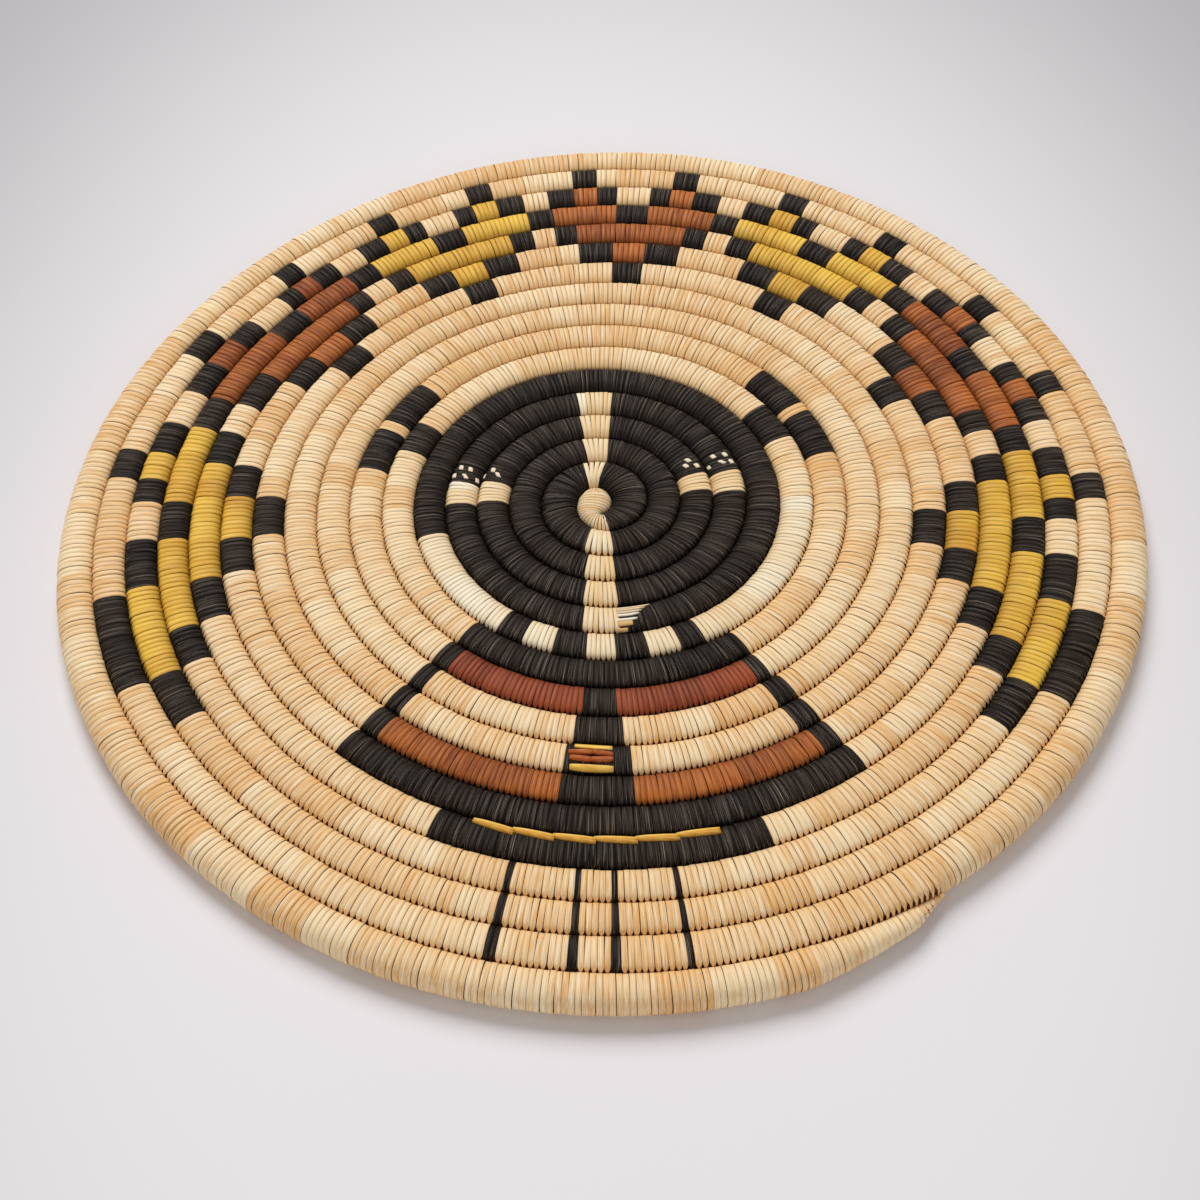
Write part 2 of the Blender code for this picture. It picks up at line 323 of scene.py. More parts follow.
@dataclass(frozen=True)
class Run:
    """A stretch of the coil sewn in one colour.

    Attributes:
        start: Its first turn.
        end: Its last turn.
        splint: Its colour.
    """

    start: float
    end: float
    splint: Splint


class ColourTape:
    """The colours along the whole coil, laid one over another like tape."""

    def __init__(self, start: float, end: float, splint: Splint) -> None:
        """Begin with one colour from end to end."""
        self.runs = [Run(start, end, splint)]

    def lay(self, start: float, end: float, splint: Splint) -> None:
        """Lay a colour over what is there.

        Args:
            start: First turn of the stretch.
            end: Last turn of the stretch.
            splint: Its colour.
        """
        kept = []
        for run in self.runs:
            if run.end <= start or run.start >= end:
                kept.append(run)
                continue
            if run.start < start:
                kept.append(Run(run.start, start, run.splint))
            if run.end > end:
                kept.append(Run(end, run.end, run.splint))
        kept.append(Run(start, end, splint))
        self.runs = sorted(kept, key=lambda run: run.start)

    def lay_on_round(self, number: int, first: float, last: float, splint: Splint) -> None:
        """Lay a colour between two angles of a round, which may lie a little outside 0 to 360."""
        self.lay(number + first / 360, number + last / 360, splint)


@dataclass(frozen=True)
class Cloud:
    """One stepped cloud of the outer band.

    Attributes:
        middle: Its middle angle.
        low: How far its widest step reaches towards lower angles, in degrees.
        high: The same towards higher angles.
        splint: The colour it is filled with.
        open_side: -1 or 1 where that side runs on past its neighbours, else 0.
    """

    middle: float
    low: float
    high: float
    splint: Splint
    open_side: int = 0

    # Of each step on a round: how far it reaches, its growth with the cloud's reach, and its part
    STEPS = {
        10: ((3, 0.2, "edge"),),
        11: ((9, 0.3, "edge"), (3, 0.2, "fill")),
        12: ((13, 0.75, "edge"), (9, 0.3, "fill")),
        13: ((17, 1.0, "edge"), (13, 0.75, "fill"), (2.5, 0.12, "edge")),
        14: ((13, 0.75, "edge"), (9, 0.5, "fill"), (5.5, 0.3, "edge"), (2.5, 0.12, "ground")),
        15: ((9, 0.5, "edge"), (5.5, 0.3, "ground")),
    }
    OPEN_STEPS = {
        14: ((31, 0, "edge"), (24, 0, "fill"), (10.5, 0, "edge"), (3, 0, "ground")),
        15: ((24, 0, "edge"), (11, 0, "ground")),
    }
    USUAL_REACH = 17

    def lay_on(self, tape: ColourTape) -> None:
        """Lay the cloud's steps on the tape, the widest of each round first.

        Args:
            tape: The colours along the coil.
        """
        colours = {"edge": Splint.BLACK, "fill": self.splint, "ground": Splint.NATURAL}
        for side, reach in ((-1, self.low), (1, self.high)):
            for number, usual_steps in self.STEPS.items():
                steps = self.OPEN_STEPS.get(number) if side == self.open_side else None
                for size, growth, role in steps or usual_steps:
                    far = self.middle + side * (size + growth * (reach - self.USUAL_REACH))
                    first, last = sorted((self.middle, far))
                    tape.lay_on_round(number, first, last, colours[role])


@dataclass(frozen=True)
class Pattern:
    """The plaque's whole pattern, as rules.

    Attributes:
        clouds: The stepped clouds of the outer band.
        stripe_rounds: How many rounds the light stripe crosses.
        upper_stripe: Side of the stripe at the knot and its flare, right and left, above the knot.
        lower_stripe: The same below the knot.
        line_rounds: The rounds that the thin black lines cross.
        lines: Angle of each thin line, and its spread on each of those rounds.
    """

    clouds: tuple[Cloud, ...] = (
        Cloud(-6.5, 24.5, 19.5, Splint.YELLOW, -1),
        Cloud(26.5, 17.5, 17.5, Splint.RUST),
        Cloud(57, 17, 17, Splint.YELLOW),
        Cloud(86, 16, 16, Splint.RUST),
        Cloud(114.5, 16.5, 16.5, Splint.YELLOW),
        Cloud(143.5, 15.5, 23.5, Splint.RUST),
        Cloud(184, 22, 24, Splint.YELLOW, 1),
    )
    stripe_rounds: int = 4
    upper_stripe: tuple[float, float, float, float] = (-0.9 * MM, 0.065, -4.8 * MM, -0.107)
    lower_stripe: tuple[float, float, float, float] = (0.45 * MM, 0.0697, -5.65 * MM, -0.033)
    line_rounds: tuple[int, ...] = (13, 14, 15)
    lines: tuple[tuple[float, tuple[float, float, float]], ...] = (
        (258.9, (0.75, 0.85, 1.15)), (266.7, (0.65, 0.75, 0.95)),
        (270.8, (0.65, 0.75, 0.95)), (277.8, (0.65, 0.6, 0.65)),
    )

    # Round, first and last angle of each light block in the black
    BLOCKS = ((3, 6.6, 19.6), (4, 4.4, 16.2), (3, 168.8, 182), (4, 171.7, 183))
    # The collar's round, where its black upper part ends, and its black blocks below
    COLLAR_ROUND = 5
    CAP_END = 196
    COLLAR_BLACK = ((238, 246), (255, 264.5), (272.8, 282), (291, 298))
    # Round, first and last angle of each black block beside the black middle
    EARS = (
        (6, 24, 38), (6, 152, 163),
        (7, 15, 30), (7, 33, 47), (7, 141, 155), (7, 158, 171),
    )
    # Round, first and last angle and colour of each part of the figure
    FIGURE = (
        (6, 232, 305, Splint.BLACK),
        (7, 231, 305, Splint.BLACK), (7, 235, 265, Splint.RED), (7, 272, 302, Splint.RED),
        (8, 231, 306, Splint.BLACK), (8, 234, 264, Splint.NATURAL), (8, 273, 302, Splint.NATURAL),
        (9, 231, 306, Splint.BLACK), (9, 234, 263, Splint.NATURAL), (9, 274, 302, Splint.NATURAL),
        (10, 231, 306, Splint.BLACK), (10, 234, 263, Splint.RUST), (10, 274, 303, Splint.RUST),
        (11, 231, 306, Splint.BLACK),
        (12, 248, 290, Splint.BLACK),
    )

    def stripe(self, shape: CoilShape, turn_near: float, lower: bool) -> tuple[float, float]:
        """Give where the light stripe crosses a round.

        Args:
            shape: The coil.
            turn_near: A turn near the crossing.
            lower: Whether it is the stripe below the knot.

        Returns:
            The first and last angle of the stripe, or for the lower one the last and first.
        """
        right, right_flare, left, left_flare = self.lower_stripe if lower else self.upper_stripe
        reach = shape.pitch * (turn_near + shape.start_reach - 0.5)
        slipped = shape.drift[0] * math.exp(-((turn_near / shape.drift_turns) ** 4))
        angles = [
            math.degrees(math.acos((place + flare * reach - slipped) / reach))
            for place, flare in ((right, right_flare), (left, left_flare))
        ]
        return tuple(360 - angle if lower else angle for angle in angles)

    def tape(self, shape: CoilShape) -> ColourTape:
        """Lay out the colours along the coil.

        Args:
            shape: The coil, which sets where the stripe crosses it.

        Returns:
            The tape with every run of colour.
        """
        tape = ColourTape(shape.start, shape.end, Splint.NATURAL)
        tape.lay(shape.start, self.COLLAR_ROUND + self.CAP_END / 360, Splint.BLACK)
        for number in range(1, self.stripe_rounds + 1):
            first, last = self.stripe(shape, number + 0.25, False)
            tape.lay_on_round(number, first, last, Splint.NATURAL)
            last, first = self.stripe(shape, number + 0.75, True)
            tape.lay_on_round(number, first, last, Splint.NATURAL)
        for number, first, last in self.BLOCKS:
            tape.lay_on_round(number, first, last, Splint.NATURAL)
        for first, last in self.COLLAR_BLACK:
            tape.lay_on_round(self.COLLAR_ROUND, first, last, Splint.BLACK)
        for number, first, last in self.EARS:
            tape.lay_on_round(number, first, last, Splint.BLACK)
        for number, first, last, splint in self.FIGURE:
            tape.lay_on_round(number, first, last, splint)
        for cloud in self.clouds:
            cloud.lay_on(tape)
        for angle, spreads in self.lines:
            for number, spread in zip(self.line_rounds, spreads):
                tape.lay_on_round(number, angle - spread / 2, angle + spread / 2, Splint.BLACK)
        return tape


# Nodes

COLOUR = "NodeSocketColor"
NUMBER = "NodeSocketFloat"
GEOMETRY = "NodeSocketGeometry"


class NodeTree:
    """A node tree, with short ways to add nodes to it."""

    def __init__(self, tree: bpy.types.NodeTree) -> None:
        """Work on this tree."""
        self.tree = tree

    def feed(self, inputs: bpy.types.NodeInputs, **values: object) -> None:
        """Link or set a node's inputs.

        Args:
            inputs: The node's inputs.
            **values: An output or a value for each, by name with _ for a space, or by _number.
        """
        for label, value in values.items():
            place = int(label[1:]) if label[0] == "_" else label.replace("_", " ")
            if isinstance(value, Socket):
                self.tree.links.new(value, inputs[place])
            else:
                inputs[place].default_value = value

    def node(
        self, kind: str, settings: dict[str, object] | None = None, **values: object
    ) -> Outputs:
        """Add a node.

        Args:
            kind: The node's type.
            settings: Properties of the node itself.
            **values: What its inputs are fed.

        Returns:
            The node's outputs.
        """
        node = self.tree.nodes.new(kind)
        for label, value in (settings or {}).items():
            setattr(node, label, value)
        self.feed(node.inputs, **values)
        return node.outputs

    def maths(self, operation: str, *values: object, clamp: bool = False) -> Socket:
        """Add a Math node.

        Args:
            operation: What it works out.
            *values: What its inputs are fed, in order.
            clamp: Whether its output stays from 0 to 1.

        Returns:
            Its output.
        """
        settings = {"operation": operation, "use_clamp": clamp}
        numbered = {f"_{place}": value for place, value in enumerate(values)}
        return self.node("ShaderNodeMath", settings, **numbered)[0]

    def vector_maths(self, operation: str, **values: object) -> Outputs:
        """Add a Vector Math node and return its outputs."""
        return self.node("ShaderNodeVectorMath", {"operation": operation}, **values)

    def combine(self, **values: object) -> Socket:
        """Combine X, Y and Z, each 0 unless given, and return the vector."""
        return self.node("ShaderNodeCombineXYZ", **values)[0]

    def mix(self, share: object, first: object, second: object) -> Socket:
        """Add a Mix node for colours and return its result."""
        return self.node("ShaderNodeMix", {"data_type": "RGBA"}, _0=share, _6=first, _7=second)[2]

    def noise(
        self, place: Socket, detail: float, scale: object = 1.0, roughness: float = 0.5
    ) -> Socket:
        """Add a Noise Texture.

        Args:
            place: Where it is read.
            detail: Its detail.
            scale: Its scale.
            roughness: Its roughness.

        Returns:
            Its factor.
        """
        return self.node(
            "ShaderNodeTexNoise", Vector=place, Scale=scale, Detail=detail, Roughness=roughness
        )["Fac"]

    def ramp(
        self, value: object, start: object, end: object, low: float = 0.0, kind: str = "LINEAR"
    ) -> Socket:
        """Add a Map Range node.

        Args:
            value: The number to map.
            start: The number that becomes low.
            end: The number that becomes 1.
            low: The least number given.
            kind: How it rises between them.

        Returns:
            The mapped number.
        """
        return self.node(
            "ShaderNodeMapRange", {"interpolation_type": kind},
            Value=value, From_Min=start, From_Max=end, To_Min=low,
        )[0]


class NodeGroup(NodeTree):
    """A node group with named inputs and outputs."""

    def __init__(
        self, kind: str, name: str, inputs: dict[str, str], outputs: dict[str, str]
    ) -> None:
        """Make the group and its sockets.

        Args:
            kind: Its type of tree.
            name: Its name.
            inputs: Each input's name and its kind of socket.
            outputs: The same of each output.
        """
        super().__init__(bpy.data.node_groups.new(name, kind))
        for way, sockets in (("INPUT", inputs), ("OUTPUT", outputs)):
            for label, socket in sockets.items():
                self.tree.interface.new_socket(label, in_out=way, socket_type=socket)
        self.enter = self.tree.nodes.new("NodeGroupInput").outputs
        self.leave = self.tree.nodes.new("NodeGroupOutput").inputs


class ShaderGroup(NodeGroup):
    """A shader node group that several finishes share."""

    def __init__(
        self, name: str, colours: tuple[str, ...], numbers: tuple[str, ...], gives: str
    ) -> None:
        """Make the group.

        Args:
            name: Its name.
            colours: The names of its inputs that are colours.
            numbers: The names of its inputs that are numbers.
            gives: The name of the number that it gives beside its colour.
        """
        inputs = {**dict.fromkeys(colours, COLOUR), **dict.fromkeys(numbers, NUMBER)}
        super().__init__("ShaderNodeTree", name, inputs, {"Colour": COLOUR, gives: NUMBER})

    def attribute(self, name: str) -> Socket:
        """Read a number that the mesh carries."""
        return self.node("ShaderNodeAttribute", {"attribute_name": name})["Fac"]

    def map_place(self) -> tuple[Socket, Socket]:
        """Give the place along and across the splint, from its UV map."""
        split = self.node("ShaderNodeSeparateXYZ", Vector=self.node("ShaderNodeTexCoord")["UV"])
        return split["X"], split["Y"]


class LeafFibre(ShaderGroup):
    """Leaf fibre: streaks along the splint about its tone; single pale fibres, partly painted glints."""

    STREAKS_ALONG = 5.0
    STREAK_DETAIL = 3.0
    STREAK_ROUGHNESS = 0.6
    GLINT_DETAIL = 1.0
    LEAF_SHIFT = 61.0
    THREADS_ACROSS = 2.3
    GLINTS_ALONG = 0.35
    GLINT_RISE = 0.09

    def __init__(self) -> None:
        """Build the group."""
        numbers = ("Streaks", "Threads", "Thread Start", "Fineness")
        super().__init__("leaf_fibre", ("Pale", "Deep", "Thread"), numbers, "Height")
        enter = self.enter
        along, across = self.map_place()
        along = self.maths("MULTIPLY", along, self.STREAKS_ALONG)
        across = self.maths("MULTIPLY", across, enter["Fineness"])
        leaf = self.maths("MULTIPLY", self.attribute("chance"), self.LEAF_SHIFT)
        place = self.combine(X=along, Y=across, Z=leaf)
        streak = self.noise(place, self.STREAK_DETAIL, roughness=self.STREAK_ROUGHNESS)
        swing = self.maths("MULTIPLY", self.maths("SUBTRACT", streak, 0.5), enter["Streaks"])
        swing = self.maths("MULTIPLY", swing, 2.0)
        share = self.maths("ADD", self.attribute("tone"), swing, clamp=True)
        colour = self.mix(share, enter["Pale"], enter["Deep"])
        # Single pale fibres, partly painted glints: the fibre colour is laid where a sparse noise rises.
        finer = self.maths("MULTIPLY", across, self.THREADS_ACROSS)
        slow = self.maths("MULTIPLY", along, self.GLINTS_ALONG)
        thread = self.noise(self.combine(X=slow, Y=finer, Z=leaf), self.GLINT_DETAIL)
        full = self.maths("ADD", enter["Thread Start"], self.GLINT_RISE)
        thread = self.ramp(thread, enter["Thread Start"], full)
        thread = self.maths("MULTIPLY", thread, enter["Threads"])
        self.feed(self.leave, Colour=self.mix(thread, colour, enter["Thread"]), Height=streak)


class StitchSeam(ShaderGroup):
    """A stitch's edges, which darken with painted shade and dip, and its ends, which take painted valley
    shade.
    """

    WANDER_ALONG = 9.0
    WANDER_DETAIL = 2.0
    LEAF_SHIFT = 43.0
    LEAST_WIDTH = 0.5
    DARK_AT = 0.97
    SEAM_SHADE_RAMP = (0.32, 0.56, 0.2)
    VALLEY_SHARE = 0.8

    def __init__(self) -> None:
        """Build the group."""
        colours = ("Colour", "Seam", "Valley")
        super().__init__("stitch_seam", colours, ("Width", "Strength"), "Height")
        enter = self.enter
        along, across = self.map_place()
        off_middle = self.maths("ABSOLUTE", self.maths("SUBTRACT", across, 0.5))
        off_middle = self.maths("MULTIPLY", off_middle, 2.0)
        along = self.maths("MULTIPLY", along, self.WANDER_ALONG)
        leaf = self.maths("MULTIPLY", self.attribute("chance"), self.LEAF_SHIFT)
        side = self.maths("GREATER_THAN", across, 0.5)
        wander = self.noise(self.combine(X=along, Y=side, Z=leaf), self.WANDER_DETAIL)
        start = self.maths("SUBTRACT", 1.0, self.maths("MULTIPLY", enter["Width"], wander))
        least = self.maths("MULTIPLY", enter["Width"], self.LEAST_WIDTH)
        start = self.maths("SUBTRACT", start, least)
        # The seam is painted shade: the stitch's edges darken where shade falls in the narrow gaps
        # between stitches, more at some seams than others.
        dark = self.ramp(off_middle, start, self.DARK_AT, kind="SMOOTHSTEP")
        seam_shade = self.maths("MULTIPLY", self.ramp(wander, *self.SEAM_SHADE_RAMP), enter["Strength"])
        # tip is painted shade: the stitch turns to its valley colour where it lies down between two
        # rows.
        tip = self.maths("MULTIPLY", self.attribute("tip"), self.VALLEY_SHARE, clamp=True)
        colour = self.mix(tip, enter["Colour"], enter["Valley"])
        colour = self.mix(self.maths("MULTIPLY", dark, seam_shade), colour, enter["Seam"])
        self.feed(self.leave, Colour=colour, Height=self.maths("SUBTRACT", 1.0, dark))


class HandlingStain(ShaderGroup):
    """Handling and age: soft stains that cross many stitches."""

    CLOUD_DETAIL = 4.0
    CLOUDS = (0.45, 0.75)

    def __init__(self) -> None:
        """Build the group."""
        super().__init__("handling_stain", ("Colour", "Stain"), ("Amount", "Scale"), "Mask")
        enter = self.enter
        place = self.node("ShaderNodeTexCoord")["Object"]
        mask = self.ramp(self.noise(place, self.CLOUD_DETAIL, enter["Scale"]), *self.CLOUDS)
        share = self.maths("MULTIPLY", mask, enter["Amount"])
        self.feed(self.leave, Colour=self.mix(share, enter["Colour"], enter["Stain"]), Mask=mask)


class MaterialTree(NodeTree):
    """A new material, with its Principled shader."""

    def __init__(self, name: str) -> None:
        """Make the material.

        Args:
            name: Its name.
        """
        self.material = bpy.data.materials.new(name)
        self.material.use_nodes = True
        super().__init__(self.material.node_tree)
        self.shader = self.tree.nodes["Principled BSDF"].inputs

    def use_group(self, group: ShaderGroup, **values: object) -> Outputs:
        """Use a shared group and return its outputs."""
        return self.node("ShaderNodeGroup", {"node_tree": group.tree}, **values)

    def bump(self, strength: float, depth: float, relief: Socket) -> None:
        """Give the surface a relief of a depth."""
        bump = self.node("ShaderNodeBump", Strength=strength, Distance=depth, Height=relief)
        self.feed(self.shader, Normal=bump["Normal"])


@dataclass(frozen=True)
class SharedGroups:
    """The shader groups that the finishes share.

    Attributes:
        fibre: Leaf fibre.
        seam: A stitch's edges and ends.
        age: Handling and age.
    """

    fibre: LeafFibre = field(default_factory=LeafFibre)
    seam: StitchSeam = field(default_factory=StitchSeam)
    age: HandlingStain = field(default_factory=HandlingStain)


# Finishes


@dataclass(frozen=True)
class SplintFinish:
    """The look of one colour of leaf splint.

    Attributes:
        pale: Its palest tone.
        deep: Its deepest tone.
        seam: The colour of the painted shade between two stitches.
        valley: The colour of the painted shade on its ends, down between two rows.
        thread: The colour of single pale fibres, partly painted glints where they catch the light.
        streaks: How strongly the fibres show as streaks.
        threads: How strongly single fibres and their painted glints show.
        stain: The colour that handling leaves.
        stain_amount: How much of it there is.
        roughness: The surface's roughness.
        gloss: How strongly it reflects, where 0.5 is the usual.
        seam_strength: How dark the painted shade at its edges is.
        thread_start: How rare single fibres and glints are, from 0.5 for many to 0.8 for none.
        fineness: How many fibres lie side by side in the leaf, about.
    """

    pale: Colour
    deep: Colour
    seam: Colour
    valley: Colour
    thread: Colour
    streaks: float
    threads: float
    stain: Colour
    stain_amount: float
    roughness: float
    gloss: float
    seam_strength: float = 1.0
    thread_start: float = 0.6
    fineness: float = 6.0

    SEAM_WIDTH = 0.15
    STAIN_SCALE = 70.0
    ROUGHNESS_SWING = 0.2
    FIBRE_RELIEF = 0.5
    RELIEF = 0.12 * MM
    RELIEF_STRENGTH = 0.7

    def make_material(self, name: str, groups: SharedGroups) -> Material:
        """Make the material.

        Args:
            name: The material's name.
            groups: The shared shader groups.

        Returns:
            The material, which reads the piece's UV map and its tone, chance and tip.
        """
        tree = MaterialTree(name)
        fibre = tree.use_group(
            groups.fibre, Pale=(*self.pale, 1), Deep=(*self.deep, 1), Thread=(*self.thread, 1),
            Streaks=self.streaks, Threads=self.threads, Thread_Start=self.thread_start,
            Fineness=self.fineness,
        )
        stained = tree.use_group(
            groups.age, Colour=fibre["Colour"], Stain=(*self.stain, 1),
            Amount=self.stain_amount, Scale=self.STAIN_SCALE,
        )
        seam = tree.use_group(
            groups.seam, Colour=stained["Colour"], Seam=(*self.seam, 1), Valley=(*self.valley, 1),
            Width=self.SEAM_WIDTH, Strength=self.seam_strength,
        )
        least = self.roughness - self.ROUGHNESS_SWING / 2
        rough = tree.maths("MULTIPLY_ADD", fibre["Height"], self.ROUGHNESS_SWING, least)
        tree.feed(
            tree.shader, Base_Color=seam["Colour"], Specular_IOR_Level=self.gloss, Roughness=rough
        )
        relief = tree.maths("MULTIPLY_ADD", fibre["Height"], self.FIBRE_RELIEF, seam["Height"])
        tree.bump(self.RELIEF_STRENGTH, self.RELIEF, relief)
        return tree.material


@dataclass(frozen=True)
class GrassFinish:
    """The look of the grass bundle, seen only between the stitches.

    Attributes:
        pale: Its palest stems.
        deep: Its deepest stems.
        dyed: Its colour under dyed splints.
        roughness: Its roughness.
    """

    pale: Colour = (0.42, 0.155, 0.040)
    deep: Colour = (0.20, 0.068, 0.016)
    dyed: Colour = (0.006, 0.004, 0.003)
    roughness: float = 0.85

    STEM_SCALE = 900.0
    RELIEF = 0.2 * MM
    RELIEF_STRENGTH = 0.8

    def make_material(self, name: str, groups: SharedGroups) -> Material:
        """Make the material from the stain at the scale of stems, dark under dyed splints.

        Args:
            name: The material's name.
            groups: The shared shader groups.

        Returns:
            The material, which reads the bundle's dye.
        """
        tree = MaterialTree(name)
        stems = tree.use_group(
            groups.age, Colour=(*self.pale, 1), Stain=(*self.deep, 1), Amount=1.0,
            Scale=self.STEM_SCALE,
        )
        dye = tree.node("ShaderNodeAttribute", {"attribute_name": "dye"})["Fac"]
        colour = tree.mix(dye, stems["Colour"], (*self.dyed, 1))
        tree.feed(tree.shader, Base_Color=colour, Roughness=self.roughness)
        tree.bump(self.RELIEF_STRENGTH, self.RELIEF, stems["Mask"])
        return tree.material


@dataclass(frozen=True)
class FloorFinish:
    """The pale paper that the plaque lies on, with painted shade towards its far corners.

    Attributes:
        paper: Its colour round the plaque.
        dim: Its colour far away, darkened as painted shade.
        stretch: How much faster it dims along each axis.
        bright_middle: The middle of its bright part.
        dims_from: Distance from there at which it starts to dim.
        dims_to: Distance at which it is dim.
        roughness: Its roughness.
        cloud_scale: Scale of its faint cloudiness.
        cloud_detail: Detail of that.
        cloud_depth: How far the cloudiness shifts the distances.
    """

    paper: Colour = (0.86, 0.842, 0.866)
    dim: Colour = (0.42, 0.411, 0.431)
    stretch: tuple[float, float, float] = (1.6, 1.0, 1.0)
    bright_middle: tuple[float, float, float] = (0.0, -0.10, 0.0)
    dims_from: float = 0.16
    dims_to: float = 0.73
    roughness: float = 0.9
    cloud_scale: float = 3.0
    cloud_detail: float = 3.0
    cloud_depth: float = 0.03

    def make_material(self) -> Material:
        """Make the material.

        Returns:
            The material, placed by the floor's own middle.
        """
        tree = MaterialTree("floor_paper")
        place = tree.node("ShaderNodeTexCoord")["Object"]
        wide = tree.vector_maths("MULTIPLY", _0=place, _1=self.stretch)[0]
        away = tree.vector_maths("DISTANCE", _0=wide, _1=self.bright_middle)["Value"]
        cloudy = tree.noise(place, self.cloud_detail, self.cloud_scale)
        away = tree.maths("MULTIPLY_ADD", cloudy, self.cloud_depth, away)
        # Painted shade: the paper's colour falls off towards the far corners, standing in for light
        # falling off.
        dimmer = tree.ramp(away, self.dims_from, self.dims_to, kind="SMOOTHERSTEP")
        colour = tree.mix(dimmer, (*self.paper, 1), (*self.dim, 1))
        tree.feed(tree.shader, Base_Color=colour, Roughness=self.roughness)
        return tree.material


# The colours of single fibres below are partly pale fibres and partly painted glints; on the black they
# are mostly painted glints.
SPLINT_FINISHES = {
    Splint.NATURAL: SplintFinish(
        pale=(0.97, 0.765, 0.465), deep=(0.81, 0.435, 0.14), seam=(0.12, 0.042, 0.012),
        valley=(0.90, 0.54, 0.21), thread=(1.0, 0.93, 0.76), streaks=1.5, threads=0.75,
        stain=(0.70, 0.38, 0.13), stain_amount=0.18, roughness=0.58, gloss=0.4, thread_start=0.57,
    ),
    Splint.BLACK: SplintFinish(
        pale=(0.024, 0.0165, 0.0122), deep=(0.006, 0.004, 0.003), seam=(0.003, 0.002, 0.0015),
        valley=(0.003, 0.002, 0.0015), thread=(0.50, 0.40, 0.31), streaks=1.2, threads=0.8,
        stain=(0.036, 0.020, 0.012), stain_amount=0.35, roughness=0.55, gloss=0.11,
        seam_strength=0.6, thread_start=0.62, fineness=12.0,
    ),
    Splint.RUST: SplintFinish(
        pale=(0.55, 0.155, 0.022), deep=(0.215, 0.040, 0.005), seam=(0.055, 0.010, 0.002),
        valley=(0.12, 0.025, 0.005), thread=(0.82, 0.39, 0.14), streaks=1.7, threads=0.6,
        stain=(0.14, 0.035, 0.010), stain_amount=0.25, roughness=0.58, gloss=0.3,
    ),
    Splint.RED: SplintFinish(
        pale=(0.39, 0.074, 0.020), deep=(0.19, 0.028, 0.007), seam=(0.035, 0.006, 0.002),
        valley=(0.05, 0.010, 0.003), thread=(0.56, 0.24, 0.12), streaks=1.5, threads=0.55,
        stain=(0.10, 0.020, 0.008), stain_amount=0.3, roughness=0.58, gloss=0.3,
    ),
    Splint.YELLOW: SplintFinish(
        pale=(0.93, 0.575, 0.060), deep=(0.69, 0.33, 0.020), seam=(0.10, 0.038, 0.004),
        valley=(0.30, 0.13, 0.010), thread=(0.95, 0.82, 0.34), streaks=1.0, threads=0.5,
        stain=(0.42, 0.19, 0.02), stain_amount=0.25, roughness=0.55, gloss=0.4,
    ),
}
FACE_FINISH = SplintFinish(
    pale=(0.99, 0.90, 0.68), deep=(0.88, 0.60, 0.27), seam=(0.13, 0.055, 0.018),
    valley=(0.74, 0.46, 0.20), thread=(0.99, 0.95, 0.84), streaks=0.6, threads=0.4,
    stain=(0.74, 0.42, 0.15), stain_amount=0.15, roughness=0.58, gloss=0.4,
)
LAID_FINISHES = {
    Splint.NATURAL: SplintFinish(
        pale=(0.99, 0.91, 0.73), deep=(0.76, 0.46, 0.15), seam=(0.08, 0.03, 0.01),
        valley=(0.42, 0.165, 0.04), thread=(0.99, 0.95, 0.85), streaks=0.3, threads=0.3,
        stain=(0.62, 0.30, 0.09), stain_amount=0.05, roughness=0.6, gloss=0.3, seam_strength=0.8,
    ),
    Splint.RUST: SplintFinish(
        pale=(0.46, 0.100, 0.013), deep=(0.24, 0.042, 0.006), seam=(0.05, 0.010, 0.002),
        valley=(0.10, 0.020, 0.004), thread=(0.82, 0.40, 0.15), streaks=1.4, threads=0.6,
        stain=(0.14, 0.035, 0.010), stain_amount=0.2, roughness=0.6, gloss=0.25,
    ),
    Splint.YELLOW: SplintFinish(
        pale=(1.0, 0.64, 0.095), deep=(0.62, 0.25, 0.015), seam=(0.10, 0.030, 0.004),
        valley=(0.30, 0.13, 0.010), thread=(0.98, 0.86, 0.40), streaks=0.8, threads=0.5,
        stain=(0.42, 0.19, 0.02), stain_amount=0.15, roughness=0.5, gloss=0.35,
    ),
}


# Meshes


def add_object(name: str, data: bpy.types.ID) -> Object:
    """Put a new object into the scene, at the origin.

    Args:
        name: Its name.
        data: Its mesh, lamp or camera.

    Returns:
        The object.
    """
    obj = bpy.data.objects.new(name, data)
    bpy.context.collection.objects.link(obj)
    return obj


def store(mesh: Mesh, **lists: np.ndarray) -> None:
    """Store numbers or vectors on a mesh.

    Args:
        mesh: The mesh.
        **lists: Each attribute's values by its name, one for each point.
    """
    for label, values in lists.items():
        kind, key = ("FLOAT_VECTOR", "vector") if values.ndim == 2 else ("FLOAT", "value")
        layer = mesh.attributes.new(label, kind, "POINT")
        layer.data.foreach_set(key, values.astype(np.float32).ravel())


